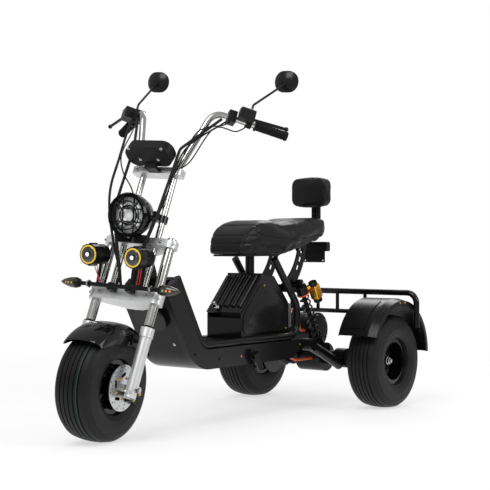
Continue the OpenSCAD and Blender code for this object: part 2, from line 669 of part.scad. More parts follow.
// Passenger foot pegs folded against the rails
module foot_pegs() color([0.06, 0.06, 0.06]) both() {
    translate([rear_x + 640, deck_w / 2 + seat_gap, deck_low + 20]) cube([34, 14, 40]);
    rod([rear_x + 655, deck_w / 2 + 14 + peg_d / 2 - 4, deck_low + 46], [rear_x + 617, deck_w / 2 + 14 + peg_d / 2 - 4, deck_low - 18],
        peg_d);
}

// Fork clamps: a casting that holds both legs and the stem
module clamp_plan(front, boss) {
    for (s = [-1, 1]) translate([0, s * leg_half]) circle(d = boss);
    translate([-fork_offset, 0]) circle(d = boss + 6);
    polygon([[front, -leg_half], [front, leg_half], [-boss / 2 + 4, leg_half], [-fork_offset - 30, 32],
        [-fork_offset - 30, -32], [-boss / 2 + 4, -leg_half]]);
}

module leg_bores(d, z, h) for (s = [-1, 1]) translate([0, s * leg_half, z]) cylinder(d = d, h = h);

riser = [6, 70];
riser_d = 24;

module lower_clamp() color([0.82, 0.82, 0.82]) steered() {
    difference() {
        translate([0, 0, lower_clamp_h]) linear_extrude(lower_clamp_t) clamp_plan(30, 60);
        leg_bores(stanchion_d + 2 * fit, lower_clamp_h - 1, lower_clamp_t + 2);
    }
    translate([-fork_offset, 0, lower_clamp_h]) cylinder(d = stem_d, h = upper_clamp_h + upper_clamp_t + 8 - lower_clamp_h);
}

module upper_clamp() color([0.82, 0.82, 0.82]) steered() difference() {
    translate([0, 0, upper_clamp_h]) linear_extrude(upper_clamp_t) clamp_plan(37, 56);
    leg_bores(stanchion_d + 2 * fit, upper_clamp_h - 1, upper_clamp_t + 2);
    translate([-fork_offset, 0, upper_clamp_h - 1]) cylinder(d = stem_d + 2 * fit, h = upper_clamp_t + 2);
    for (s = [-1, 1]) translate([riser.x, s * riser.y, upper_clamp_h - 1]) cylinder(d = riser_d + 2 * fit, h = upper_clamp_t + 2);
}

slip = 150;
module stanchions() color([0.75, 0.76, 0.78]) steered()
    leg_bores(stanchion_d, slip, upper_clamp_h + upper_clamp_t + 12 - slip);

slider_low = -34;
collar_h = 35;
module sliders() color([0.85, 0.85, 0.85]) steered() difference() {
    union() {
        leg_bores(slider_d, slider_low, slider_top - slider_low);
        leg_bores(slider_d + 8, slider_top - collar_h, collar_h);
    }
    leg_bores(stanchion_d + 2 * fit, slip, slider_top - slip + 1);
    translate([0, -leg_half - 40, 0]) rotate([-90, 0, 0]) cylinder(d = front_axle_d + 2 * fit, h = 2 * leg_half + 80);
}

hub_half = 82;
front_disc_y = 88;
disc_t = 4;
spacer_y = front_disc_y + disc_t / 2 + seat_gap;
nut_d = 26;
module front_axle() color([0.6, 0.6, 0.62]) steered() {
    translate([0, -leg_half - slider_d / 2 - 14, 0]) rotate([-90, 0, 0]) cylinder(d = front_axle_d, h = 2 * leg_half + slider_d + 28);
    both() {
        translate([0, leg_half + slider_d / 2 + seat_gap, 0]) rotate([-90, 0, 0]) cylinder(d = nut_d, h = 10, $fn = 6);
        translate([0, spacer_y, 0]) rotate([-90, 0, 0]) cylinder(d = nut_d, h = leg_half - slider_d / 2 - spacer_y - seat_gap);
    }
}

riser_low = lower_clamp_h + lower_clamp_t + seat_gap;
bar_bracket_t = 26;
riser_sink = 8;
module riser_tubes() color([0.75, 0.76, 0.78]) steered() for (s = [-1, 1])
    translate([riser.x, s * riser.y, riser_low]) cylinder(d = riser_d, h = bar_bracket_h + riser_sink - riser_low);

bar_sink = 10;
bar_foot = [22, 84, bar_bracket_h + bar_bracket_t - bar_sink];
bar_path = [bar_foot, [0, 160, bar_bracket_h + bar_rise], [-bar_back, bar_half, bar_bracket_h + bar_rise]];
module bar_bracket() color([0.8, 0.8, 0.8]) steered() difference() {
    translate([14, 0, bar_bracket_h]) linear_extrude(bar_bracket_t) round_rect(54, 216, 16);
    for (s = [-1, 1]) translate([riser.x, s * riser.y, bar_bracket_h - 1])
        cylinder(d = riser_d + 2 * fit, h = riser_sink + seat_gap + 1);
    both() rod(bar_foot, bar_path[1], bar_d + 2 * fit);
}

module handlebar() color([0.72, 0.7, 0.66]) steered() both() bent_tube(bar_path, bar_d, 60);

grip_dir = unit(bar_path[2] - bar_path[1]);
function on_bar(back) = bar_path[2] - grip_dir * back;
module grips() color([0.03, 0.03, 0.03]) steered() both() difference() {
    union() {
        rod(on_bar(grip_len), on_bar(-4), grip_d);
        rod(on_bar(grip_len), on_bar(grip_len - 6), grip_d + 8);
    }
    rod(on_bar(grip_len + 1), on_bar(0), bar_d + 2 * fit);
}

perch_back = grip_len + 26;
perch_wall = 7;
ahead = unit(cross([0, 0, 1], -grip_dir));
module brake_levers() color([0.05, 0.05, 0.05]) steered() both() difference() {
    union() {
        rod(on_bar(perch_back + 11), on_bar(perch_back - 11), bar_d + 2 * perch_wall);
        bent_tube([on_bar(perch_back) + ahead * 12, on_bar(perch_back) + ahead * 46,
            on_bar(20) + ahead * 62], 12, 16);
        translate(on_bar(20) + ahead * 62) sphere(d = 18);
        translate(on_bar(perch_back + 20) + ahead * 34 + [0, 0, 14]) rotate([0, 0, atan2(grip_dir.y, grip_dir.x)])
            translate([-30, -19, -22]) cube([60, 38, 44]);
    }
    rod(on_bar(perch_back + 80), on_bar(perch_back - 80), bar_d + 2 * fit);
}

switch_back = perch_back + 70;
module switch_blocks() color([0.05, 0.05, 0.05]) steered() both() difference() {
    from_to(on_bar(switch_back + 16), on_bar(switch_back - 16)) translate([0, 0, 16])
        cube([42, 48, 32], center = true);
    rod(on_bar(switch_back + 60), on_bar(switch_back - 60), bar_d + 2 * fit);
}

mirror_foot = on_bar(perch_back) + [0, 0, bar_d / 2 + perch_wall + seat_gap];
mirror_at = [-237, 304, bar_bracket_h + bar_rise + 261];
mirror_w = 106;
mirror_h = 86;
mirror_t = 22;

// A place turned to face back, level with the ground
module facing_back(at) translate(at) rotate([0, rake, 0]) rotate([90, 0, -90]) children();

// Oval mirrors on thin bent stems
module mirrors() color([0.3, 0.31, 0.32]) steered() both() {
    bent_tube([mirror_foot, mirror_foot + [0, 0, 60], mirror_at + [14, 0, -20], mirror_at + [9, 0, 0]], 9, 14);
    difference() {
        intersection() {
            facing_back(mirror_at) translate([0, 0, -mirror_t]) linear_extrude(mirror_t) round_rect(mirror_w, mirror_h, mirror_h / 2 - 1);
            facing_back(mirror_at) translate([0, 0, 62]) sphere(82);
        }
        facing_back(mirror_at) translate([0, 0, -3]) linear_extrude(4) round_rect(mirror_w - 8, mirror_h - 8, mirror_h / 2 - 5);
    }
}

module mirror_glass() color([0.8, 0.85, 0.9]) steered() both()
    facing_back(mirror_at) translate([0, 0, -3 + seat_gap]) linear_extrude(2.2)
        round_rect(mirror_w - 9, mirror_h - 9, mirror_h / 2 - 5.5);

headlight_at = [40, 0, 650];
headlight_r = headlight_d / 2;
bezel = 12;
headlight_arm = 26;

// A place turned to face forwards, level with the ground
module facing_front(at) translate(at) rotate([0, rake, 0]) rotate([90, 0, 90]) children();

// Bowl with a ringed guard over the glass, on a bracket from the riser tubes
module headlight() color([0.03, 0.03, 0.035]) steered() {
    facing_front(headlight_at) {
        rotate_extrude() difference() {
            polygon([[0, 0], [headlight_r * 0.45, 0], [headlight_r * 0.78, headlight_deep * 0.22],
                [headlight_r * 0.96, headlight_deep * 0.6], [headlight_r, headlight_deep * 0.9],
                [headlight_r - 4, headlight_deep], [0, headlight_deep]]);
            translate([0, headlight_deep * 0.55]) square([headlight_r - bezel, headlight_deep]);
        }
        for (r = [0.36, 0.62]) translate([0, 0, headlight_deep - 5]) rotate_extrude()
            translate([headlight_r * r, 0]) circle(d = 5);
        for (a = [0 : 90 : 270]) rotate(a + 45) translate([headlight_r * 0.36, 0, headlight_deep - 5]) rotate([0, 90, 0])
            cylinder(d = 5, h = headlight_r - bezel + 2 - headlight_r * 0.36);
    }
    difference() {
        translate([0, 0, headlight_at.z - headlight_arm / 2]) union() {
            for (s = [-1, 1]) translate([riser.x, s * riser.y]) cylinder(d = riser_d + 14, h = headlight_arm);
            translate([riser.x + 6, -riser.y, 0]) cube([headlight_at.x - riser.x + 14, 2 * riser.y, headlight_arm]);
        }
        for (s = [-1, 1]) translate([riser.x, s * riser.y, 0]) cylinder(d = riser_d + 2 * fit, h = 1000);
    }
}

module headlight_lens() color([0.85, 0.88, 0.9]) steered() facing_front(headlight_at)
    translate([0, 0, headlight_deep * 0.55 + seat_gap]) rotate_extrude()
        polygon([[0, 0], [headlight_r - bezel - seat_gap, 0], [headlight_r - bezel - seat_gap, 10],
            [headlight_r * 0.5, 26], [0, 32]]);

bar_at = [64, 0, lower_clamp_h + lower_clamp_t - 6];
lamp_bar_half = 130;
lamp_bar_d = 16;
spot_at = [84, spot_half, 470];
spot_deep = 88;
spot_r = spot_d / 2;

// Cross bar in front of the lower clamp that carries the spot lamps, the signals and the headlight
module lamp_bar() color([0.05, 0.05, 0.05]) steered() {
    translate([bar_at.x, -lamp_bar_half, bar_at.z]) rotate([-90, 0, 0]) cylinder(d = lamp_bar_d, h = 2 * lamp_bar_half);
    for (y = [-40, 40]) translate([30 + seat_gap, y - 12, bar_at.z - 14]) cube([bar_at.x - 30, 24, 28]);
    both() difference() {
        rod([bar_at.x, spot_half, bar_at.z], spot_at, 12);
        facing_front(spot_at) translate([0, 0, -30]) cylinder(r = spot_r - 2 + seat_gap, h = 90);
    }
}

// Finned spot lamps
module spot_lamps() color([0.04, 0.04, 0.045]) steered() both() facing_front(spot_at) difference() {
    union() {
        translate([0, 0, -10]) cylinder(r = spot_r - 10, h = spot_deep);
        for (z = [0 : 9 : 45]) translate([0, 0, z]) cylinder(r = spot_r - 2, h = 4);
        translate([0, 0, 52]) cylinder(r = spot_r, h = spot_deep - 52);
    }
    translate([0, 0, spot_deep - 22]) cylinder(r = spot_r - 4, h = 30);
}

module spot_rings() color([1, 0.8, 0.05]) steered() both() facing_front(spot_at)
    translate([0, 0, spot_deep - 22 + seat_gap]) rotate_extrude() {
        square([spot_r - 13, 10]);
        translate([spot_r - 13.5, 0]) square([9, 24]);
    }

// Pointed turn signals on short stalks
module turn_signals() color([0.12, 0.12, 0.12]) steered() both()
    translate([bar_at.x, lamp_bar_half + seat_gap, bar_at.z]) rotate([-90, 0, 0]) rotate_extrude()
        polygon([[0, 0], [10, 0], [10, 14], [8, 18], [8, 40], [16, 46], [20, 62], [18, 88], [10, 116], [0, 132]]);

dash_at = [100, 0, bar_bracket_h + 54];
dash_h = 92;
dash_t = 42;
// Rounded dash pod on a bracket in front of the bar bracket
module dash_pod() color([0.05, 0.05, 0.055]) steered() {
    translate(dash_at) rotate([0, -24, 0]) translate([0, 0, -dash_t / 2]) linear_extrude(dash_t)
        round_rect(dash_h, dash_w, 40);
    translate([14 + 27 + seat_gap, -25, bar_bracket_h + 2]) cube([40, 50, 12]);
    translate([14 + 27 + 28, -25, bar_bracket_h + 2]) cube([12, 50, 50]);
}

guard_r = tyre_r + 22;
guard_half = front_tyre_w / 2 + 5.5;
guard_t = 2.5;
guard_from = 52 - rake;
guard_to = 150 - rake;
skirt_from = 80 - rake;
skirt_to = 128 - rake;
skirt_drop = 62;
skirt_inset = 0.2;

// A round section about the front axle between two angles up from straight ahead
module about_axle(from, to) rotate([90, 0, 0]) rotate([0, 0, from]) rotate_extrude(angle = to - from) children();

// Front fender with bevelled edges and a skirt beside each fork leg
module front_fender() color([0.06, 0.06, 0.065]) steered() {
    about_axle(guard_from, guard_to) polygon([[guard_r - 22, guard_half], [guard_r - 22, guard_half + guard_t],
        [guard_r - 14, guard_half + guard_t], [guard_r + guard_t, guard_half - 26], [guard_r + guard_t + 3, 0],
        [guard_r + guard_t, -guard_half + 26], [guard_r - 14, -guard_half - guard_t],
        [guard_r - 22, -guard_half - guard_t], [guard_r - 22, -guard_half], [guard_r - 15, -guard_half],
        [guard_r, -guard_half + 27], [guard_r + 3, 0], [guard_r, guard_half - 27], [guard_r - 15, guard_half]]);
    both() about_axle(skirt_from, skirt_to) translate([guard_r - skirt_drop, guard_half + skirt_inset])
        square([50, guard_t - 2 * skirt_inset]);
    both() translate([0, guard_half + guard_t - 1, slider_top - 50]) rotate([-90, 0, 0])
        cylinder(d = 18, h = leg_half - slider_d / 2 - guard_half - guard_t + 1 - seat_gap);
}

front_disc_r = 84;
caliper_w = 62;
caliper_in = 76;
// Front caliper behind the left leg, straddling the disc
module front_caliper() color([0.07, 0.07, 0.07]) steered() difference() {
    union() {
        translate([-slider_d / 2 - caliper_w, caliper_in, -36]) cube([caliper_w - 2, 30, 50]);
        translate([-slider_d / 2 - 36, front_disc_y + 6, -20]) cube([36 - seat_gap, leg_half - front_disc_y + 4, 30]);
    }
    rotate([90, 0, 0]) translate([0, 0, -front_disc_y - disc_t / 2 - 3]) cylinder(r = front_disc_r + 5, h = disc_t + 6);
    translate([0, leg_half, -60]) cylinder(d = slider_d + 2 * seat_gap, h = 120);
    rotate([-90, 0, 0]) cylinder(r = 52, h = front_disc_y + 30);
}

sleeve_d = 11;
// Braided cable sleeves from the controls to the lower clamp
module cable_sleeves() color([0.06, 0.06, 0.06]) steered() both()
    bent_tube([on_bar(switch_back + 30) + [10, 0, -22], [70, 104, bar_bracket_h + 90], [92, 98, 640],
        [48, 30, 430], [18, 22, riser_low + 2.6]], sleeve_d, 40);

// Tyre section: crown with grooves, round shoulders and sidewalls down to the bead between the rim's flanges
flange_h = 9;
flange_t = 5;
bead_r = rim_d / 2 - flange_h;
function crown_at(y) = tyre_r - crown_r + sqrt(crown_r * crown_r - y * y);
module tyre(w, rim_w) {
    h = w / 2;
    tread = h * 0.74;
    low = crown_at(tread);
    pitch = 2 * tread / (grooves + 1);
    wall = [[bead_r + seat_gap, rim_w / 2], [rim_d / 2 + 1, rim_w / 2], [rim_d / 2 + 5, h * 0.86],
        [rim_d / 2 + 22, h * 0.96], [rim_d / 2 + 42, h], [low - 24, h * 0.98], [low - 8, h * 0.88]];
    rotate([-90, 0, 0]) rotate_extrude() difference() {
        polygon(concat([for (p = wall) [p.x, -p.y]], [for (i = [-6 : 6]) [crown_at(tread * i / 6), tread * i / 6]],
            backwards(wall)));
        for (i = [1 : grooves]) let (y = -tread + pitch * i)
            translate([crown_at(y) - groove_deep, y - 2.5]) square([20, 5]);
    }
}

// Rim: barrel with two flanges, a web and a hub
module rim(rim_w, web_y, hub_from, hub_to, hub_d) {
    h = rim_w / 2 + seat_gap;
    barrel = bead_r - 7;
    hub_r = hub_d / 2;
    rotate([-90, 0, 0]) rotate_extrude() polygon([[barrel, -h - flange_t], [rim_d / 2, -h - flange_t], [rim_d / 2, -h],
        [bead_r, -h], [bead_r, h], [rim_d / 2, h], [rim_d / 2, h + flange_t], [barrel, h + flange_t],
        [barrel, web_y + 14], [bead_r * 0.6, web_y + 8], [hub_r, web_y + 6], [hub_r, hub_to], [0, hub_to],
        [0, hub_from], [hub_r, hub_from], [hub_r, web_y - 6], [bead_r * 0.6, web_y - 4], [barrel, web_y + 2]]);
}

module front_tyre() color([0.05, 0.05, 0.05]) steered() tyre(front_tyre_w, front_rim_w);

module front_rim() color([0.04, 0.04, 0.04]) steered() difference() {
    rim(front_rim_w, -6, -hub_half, hub_half, 62);
    translate([0, -200, 0]) rotate([-90, 0, 0]) cylinder(d = front_axle_d + 2 * fit, h = 400);
}

disc_holes = 12;
module front_disc() color([0.8, 0.8, 0.8]) steered() translate([0, front_disc_y - disc_t / 2, 0]) rotate([-90, 0, 0])
    difference() {
        union() {
            cylinder(r = front_disc_r, h = disc_t);
            translate([0, 0, hub_half - front_disc_y + disc_t / 2 + seat_gap]) cylinder(d = 56, h = front_disc_y - hub_half);
        }
        translate([0, 0, -40]) cylinder(d = front_axle_d + 8, h = 80);
        for (i = [0 : disc_holes - 1]) rotate(i * 360 / disc_holes) {
            translate([front_disc_r - 9, 0, -1]) cylinder(d = 6, h = 10);
            rotate(8) translate([front_disc_r - 19, 0, -1]) cylinder(d = 5, h = 10);
        }
        for (i = [0 : 4]) rotate(i * 72) translate([front_disc_r * 0.55, 0, -1]) rotate(30) linear_extrude(10) round_rect(12, 30, 5);
    }

// Rear rim with its deep dish outwards, hub, brake disc and half shaft
module rear_wheel_metal() {
    rim(rear_rim_w, -24, -70, 10, 70);
    translate([0, disc_y - rear_y, 0]) rotate([-90, 0, 0]) cylinder(r = disc_r, h = disc_t);
    translate([0, disc_y - rear_y, 0]) rotate([-90, 0, 0]) cylinder(d = 60, h = rear_y - disc_y - 60);
    translate([0, 90 - rear_y, 0]) rotate([-90, 0, 0]) cylinder(d = shaft_d, h = rear_y - 90 + 22);
    rotate([-90, 0, 0]) translate([0, 0, 9]) cylinder(d = 38, h = 12, $fn = 6);
}

module left_tyre() color([0.05, 0.05, 0.05]) translate([axle.x, rear_y, axle.z]) tyre(rear_tyre_w, rear_rim_w);
module right_tyre() color([0.05, 0.05, 0.05]) translate([axle.x, -rear_y, axle.z]) tyre(rear_tyre_w, rear_rim_w);
module left_rim() color([0.04, 0.04, 0.04]) translate([axle.x, rear_y, axle.z]) rear_wheel_metal();
module right_rim() color([0.04, 0.04, 0.04]) mirror([0, 1, 0]) translate([axle.x, rear_y, axle.z]) rear_wheel_metal();

side_rails();
floor_panel();
leg_shield();
horn();
frame_tubes();
head_tube();
deck_mat();
box_shell();
battery();
box_lid();
seat_post();
seat_pan();
seat_cushion();
backrest_post();
backrest_pad();
seat_brackets();
tail_lamp();
rear_arms();
axle_housing();
drive_motor();
shock_bodies();
shock_springs();
shock_reservoirs();
controller();
power_cables();
rear_fenders();
cargo_rack();
foot_pegs();
lower_clamp();
upper_clamp();
stanchions();
sliders();
front_axle();
riser_tubes();
bar_bracket();
handlebar();
grips();
brake_levers();
switch_blocks();
mirrors();
mirror_glass();
headlight();
headlight_lens();
spot_lamps();
spot_rings();
lamp_bar();
turn_signals();
dash_pod();
front_fender();
front_caliper();
cable_sleeves();
front_tyre();
front_rim();
front_disc();
left_tyre();
left_rim();
right_tyre();
right_rim();
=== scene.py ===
import bmesh
import bpy
import json
import math
from mathutils import Matrix, Vector
from mathutils.bvhtree import BVHTree


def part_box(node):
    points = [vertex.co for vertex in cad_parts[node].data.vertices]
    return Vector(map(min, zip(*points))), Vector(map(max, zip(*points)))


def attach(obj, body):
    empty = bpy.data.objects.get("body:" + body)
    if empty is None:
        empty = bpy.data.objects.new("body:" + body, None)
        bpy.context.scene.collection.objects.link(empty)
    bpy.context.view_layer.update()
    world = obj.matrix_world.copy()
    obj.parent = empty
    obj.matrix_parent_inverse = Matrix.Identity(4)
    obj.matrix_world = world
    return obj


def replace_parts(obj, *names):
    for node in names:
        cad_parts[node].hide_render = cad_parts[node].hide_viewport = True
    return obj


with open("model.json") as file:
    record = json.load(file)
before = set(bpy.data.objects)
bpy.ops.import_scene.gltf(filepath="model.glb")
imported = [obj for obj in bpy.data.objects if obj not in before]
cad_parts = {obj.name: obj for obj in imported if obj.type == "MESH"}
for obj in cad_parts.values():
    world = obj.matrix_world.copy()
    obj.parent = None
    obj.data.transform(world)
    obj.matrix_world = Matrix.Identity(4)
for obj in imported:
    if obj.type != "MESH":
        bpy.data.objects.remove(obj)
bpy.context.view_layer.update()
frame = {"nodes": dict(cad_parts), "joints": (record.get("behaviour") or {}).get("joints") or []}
scene = bpy.context.scene
mm = 0.001
nodes = frame["nodes"]
joints = {j["name"]: j for j in frame["joints"]}
print("frame loaded,", len(nodes), "CAD nodes")

# Places: fixed pieces count from the rear axle, steered ones from the front wheel's centre along the fork
wheelCentre = Vector(joints["front_wheel_spin"]["pos_m"])
forkUp = Vector(joints["steering"]["axis"]).normalized()
forkLeft = Vector(joints["front_wheel_spin"]["axis"]).normalized()
forkAhead = forkLeft.cross(forkUp).normalized()
forkTurn = Matrix((forkAhead, forkLeft, forkUp)).transposed()
rearX = joints["left_wheel_spin"]["pos_m"][0]
axleZ = joints["left_wheel_spin"]["pos_m"][2]
rakeSin, rakeCos = -forkUp.x, forkUp.z


def addObject(name, data):
    obj = bpy.data.objects.new(name, data)
    scene.collection.objects.link(obj)
    return obj


def deckAt(x, y, z):
    return Vector((rearX + x * mm, y * mm, z * mm))


def forkAt(x, y, z):
    return wheelCentre + forkTurn @ (Vector((x, y, z)) * mm)


def forkDir(x, y, z):
    return (forkTurn @ Vector((x, y, z))).normalized()


levelAhead = forkDir(rakeCos, 0, -rakeSin)
levelUp = forkDir(rakeSin, 0, rakeCos)
acrossAxis = Vector((0, 1, 0))

# Camera as the photo was taken
cameraSet = {"place": (3.8726, 3.0116, 0.7122), "turn": (89.95, 0.0, 126.84), "lens": 88.05}
lensData = bpy.data.cameras.new("photoCamera")
lensData.sensor_fit = "HORIZONTAL"
lensData.sensor_width = 36
lensData.lens = cameraSet["lens"]
lensData.clip_end = 60
photoCamera = addObject("photoCamera", lensData)
photoCamera.location = cameraSet["place"]
photoCamera.rotation_euler = [math.radians(a) for a in cameraSet["turn"]]
scene.camera = photoCamera
scene.view_settings.view_transform = "Standard"


# Shader groups that several finishes share
def shaderGroup(name, inputs, outputs):
    tree = bpy.data.node_groups.new(name, "ShaderNodeTree")
    for label, kind, value in inputs:
        socket = tree.interface.new_socket(label, in_out="INPUT", socket_type=kind)
        if value is not None:
            socket.default_value = value
    for label, kind in outputs:
        tree.interface.new_socket(label, in_out="OUTPUT", socket_type=kind)
    return tree, tree.nodes.new("NodeGroupInput"), tree.nodes.new("NodeGroupOutput")


def feed(tree, socket, value):
    if hasattr(value, "is_linked"):
        tree.links.new(value, socket)
    else:
        socket.default_value = value


def addNode(tree, kind, **values):
    node = tree.nodes.new(kind)
    for key, value in values.items():
        feed(tree, node.inputs[key.replace("_", " ")], value)
    return node


def mathNode(tree, operation, *values):
    node = tree.nodes.new("ShaderNodeMath")
    node.operation = operation
    for socket, value in zip(node.inputs, values):
        feed(tree, socket, value)
    return node.outputs[0]


def mixNode(tree, factor, first, second):
    node = tree.nodes.new("ShaderNodeMix")
    node.data_type = "RGBA"
    for index, value in ((0, factor), (6, first), (7, second)):
        feed(tree, node.inputs[index], value)
    return node.outputs[2]


def noiseNode(tree, vector, scale, detail=4.0, rough=0.55):
    return addNode(tree, "ShaderNodeTexNoise", Vector=vector, Scale=scale, Detail=detail,
                   Roughness=rough).outputs["Fac"]


def mixShaders(tree, share, first, second):
    node = tree.nodes.new("ShaderNodeMixShader")
    for socket, value in zip(node.inputs, (share, first.outputs[0], second.outputs[0])):
        tree.links.new(value, socket)
    return node


# Rays that see the set: the camera's own, reflected and through glass
def seenRays(tree):
    rays = tree.nodes.new("ShaderNodeLightPath").outputs
    return rays, mathNode(tree, "MAXIMUM", rays["Is Camera Ray"],
                          mathNode(tree, "MAXIMUM", rays["Is Glossy Ray"], rays["Is Transmission Ray"]))


def buildTint():
    tree, gin, gout = shaderGroup("tintBreakup", [
        ("Vector", "NodeSocketVector", None), ("Base", "NodeSocketColor", (0.5, 0.5, 0.5, 1)),
        ("Shade", "NodeSocketColor", (0.4, 0.4, 0.4, 1)), ("Scale", "NodeSocketFloat", 30.0),
        ("Amount", "NodeSocketFloat", 0.6), ("Rough", "NodeSocketFloat", 0.4), ("Spread", "NodeSocketFloat", 0.1)],
        [("Color", "NodeSocketColor"), ("Roughness", "NodeSocketFloat"), ("Height", "NodeSocketFloat")])
    patch = noiseNode(tree, gin.outputs["Vector"], gin.outputs["Scale"])
    colour = mixNode(tree, mathNode(tree, "MULTIPLY", patch, gin.outputs["Amount"]), gin.outputs["Base"],
                     gin.outputs["Shade"])
    centred = mathNode(tree, "SUBTRACT", patch, 0.5)
    rough = mathNode(tree, "MULTIPLY_ADD", centred, gin.outputs["Spread"], gin.outputs["Rough"])
    fine = noiseNode(tree, gin.outputs["Vector"], mathNode(tree, "MULTIPLY", gin.outputs["Scale"], 18.0), 2.0)
    for label, value in (("Color", colour), ("Roughness", rough), ("Height", fine)):
        tree.links.new(value, gout.inputs[label])
    return tree


def buildScuff():
    tree, gin, gout = shaderGroup("scuffMarks", [
        ("Vector", "NodeSocketVector", None), ("Scale", "NodeSocketFloat", 14.0),
        ("Density", "NodeSocketFloat", 0.3)],
        [("Mask", "NodeSocketFloat")])
    stretch = addNode(tree, "ShaderNodeMapping", Scale=(1.0, 2.4, 5.0), Vector=gin.outputs["Vector"])
    streak = noiseNode(tree, stretch.outputs["Vector"], gin.outputs["Scale"], 6.0, 0.7)
    ramp = addNode(tree, "ShaderNodeMapRange", From_Min=0.56, From_Max=0.72, Value=streak)
    tree.links.new(mathNode(tree, "MULTIPLY", ramp.outputs[0], gin.outputs["Density"]), gout.inputs["Mask"])
    return tree


def buildGrain():
    tree, gin, gout = shaderGroup("hideGrain", [
        ("Vector", "NodeSocketVector", None), ("Scale", "NodeSocketFloat", 500.0)], [("Height", "NodeSocketFloat")])
    cells = addNode(tree, "ShaderNodeTexVoronoi", Vector=gin.outputs["Vector"], Scale=gin.outputs["Scale"])
    wrinkle = noiseNode(tree, gin.outputs["Vector"], mathNode(tree, "MULTIPLY", gin.outputs["Scale"], 0.12), 3.0)
    tree.links.new(mathNode(tree, "MULTIPLY_ADD", wrinkle, 0.8, cells.outputs["Distance"]), gout.inputs["Height"])
    return tree


def buildBraid():
    tree, gin, gout = shaderGroup("braidWeave", [
        ("Vector", "NodeSocketVector", None), ("Scale", "NodeSocketFloat", 300.0)],
        [("Height", "NodeSocketFloat"), ("Mask", "NodeSocketFloat")])
    strands = []
    for tilt in (0.7, -0.7):
        turn = addNode(tree, "ShaderNodeMapping", Rotation=(tilt, tilt, 0), Vector=gin.outputs["Vector"])
        wave = addNode(tree, "ShaderNodeTexWave", Vector=turn.outputs["Vector"], Scale=gin.outputs["Scale"])
        strands.append(wave.outputs["Fac"])
    weave = mathNode(tree, "MAXIMUM", *strands)
    tree.links.new(weave, gout.inputs["Height"])
    # Mask: high where both strands are high, on the raised crossings of the weave; finish() paints a lighter colour
    # there as a painted highlight
    tree.links.new(mathNode(tree, "MULTIPLY", *strands), gout.inputs["Mask"])
    return tree


tintTree, scuffTree, grainTree, braidTree = buildTint(), buildScuff(), buildGrain(), buildBraid()


def finish(slotName, base, shade, rough, spread=0.1, metal=0.0, coat=0.0, scale=30.0, amount=0.8, bump=0.06,
           scuff=0.0, grain=None, braid=None, sheen=0.0, glow=None, clear=0.0, depth=0.0004, spec=0.5, label=None):
    mat = bpy.data.materials.new(label or slotName)
    mat.use_nodes = True
    tree = mat.node_tree
    shader = tree.nodes["Principled BSDF"]
    where = tree.nodes.new("ShaderNodeTexCoord").outputs["Object"]

    def place(group, **values):
        node = tree.nodes.new("ShaderNodeGroup")
        node.node_tree = group
        tree.links.new(where, node.inputs["Vector"])
        for key, value in values.items():
            node.inputs[key].default_value = value
        return node

    tint = place(tintTree, Base=(*base, 1), Shade=(*shade, 1), Scale=scale, Amount=amount, Rough=rough, Spread=spread)
    colour, roughness, height = (tint.outputs[k] for k in ("Color", "Roughness", "Height"))
    if scuff:
        mask = place(scuffTree, Density=scuff).outputs["Mask"]
        lighter = [min(1.0, c * 1.35 + 0.03) for c in base]
        colour = mixNode(tree, mask, colour, (*lighter, 1))
        roughness = mathNode(tree, "MULTIPLY_ADD", mask, 0.3, roughness)
    if grain:
        height = place(grainTree, Scale=grain).outputs["Height"]
    if braid:
        weave = place(braidTree, Scale=braid)
        height = weave.outputs["Height"]
        # Lighter colour on the raised crossings of the weave: a painted highlight on the braid, not a colour of the
        # fibre
        colour = mixNode(tree, weave.outputs["Mask"], colour, (*[c * 2.2 + 0.02 for c in base], 1))
    tree.links.new(colour, shader.inputs["Base Color"])
    tree.links.new(roughness, shader.inputs["Roughness"])
    if bump:
        dent = addNode(tree, "ShaderNodeBump", Strength=bump, Distance=depth, Height=height)
        tree.links.new(dent.outputs["Normal"], shader.inputs["Normal"])
    shader.inputs["Metallic"].default_value = metal
    shader.inputs["Specular IOR Level"].default_value = spec
    shader.inputs["Coat Weight"].default_value = coat
    shader.inputs["Coat Roughness"].default_value = 0.06
    shader.inputs["Sheen Weight"].default_value = sheen
    shader.inputs["Transmission Weight"].default_value = clear
    if glow:
        shader.inputs["Emission Color"].default_value = (*glow[:3], 1)
        shader.inputs["Emission Strength"].default_value = glow[3]
    return mat


satinBlack = finish("satin_black_paint", (0.0055, 0.0055, 0.006), (0.0035, 0.0035, 0.0035), 0.26, bump=0.04,
                    scuff=0.03, spec=0.22)
glossBlack = finish("gloss_black_paint", (0.0040, 0.0040, 0.0045), (0.0025, 0.0025, 0.0025), 0.13, 0.04, coat=0.12,
                    bump=0.01, spec=0.28)
darkGrey = finish("dark_grey_paint", (0.0085, 0.0085, 0.009), (0.0055, 0.0055, 0.006), 0.24, 0.08, coat=0.04,
                  bump=0.04, scuff=0.03, spec=0.24)
blackPlastic = finish("black_plastic", (0.006, 0.006, 0.0065), (0.004, 0.004, 0.004), 0.40, 0.10, bump=0.20,
                      scale=60, spec=0.20)
blackMetal = finish("black_metal", (0.007, 0.007, 0.0075), (0.0045, 0.0045, 0.005), 0.30, 0.12, metal=0.10,
                    bump=0.08, scuff=0.04, spec=0.24)
greyCasting = finish("grey_casting", (0.36, 0.365, 0.37), (0.26, 0.265, 0.27), 0.48, 0.14, metal=0.6, bump=0.25,
                     scale=70)
silverCasting = finish("silver_casting", (0.76, 0.765, 0.77), (0.62, 0.625, 0.63), 0.36, 0.12, metal=0.75,
                       bump=0.12, scale=55)
chromeTube = finish("chrome_tube", (0.58, 0.575, 0.56), (0.46, 0.455, 0.44), 0.18, 0.06, metal=1.0, bump=0)
discSteel = finish("disc_steel", (0.62, 0.63, 0.64), (0.48, 0.485, 0.49), 0.28, 0.16, metal=1.0, bump=0.12, scale=90)
goldAnodised = finish("gold_anodised", (0.90, 0.47, 0.05), (0.74, 0.34, 0.03), 0.24, 0.10, metal=0.9, bump=0.06)
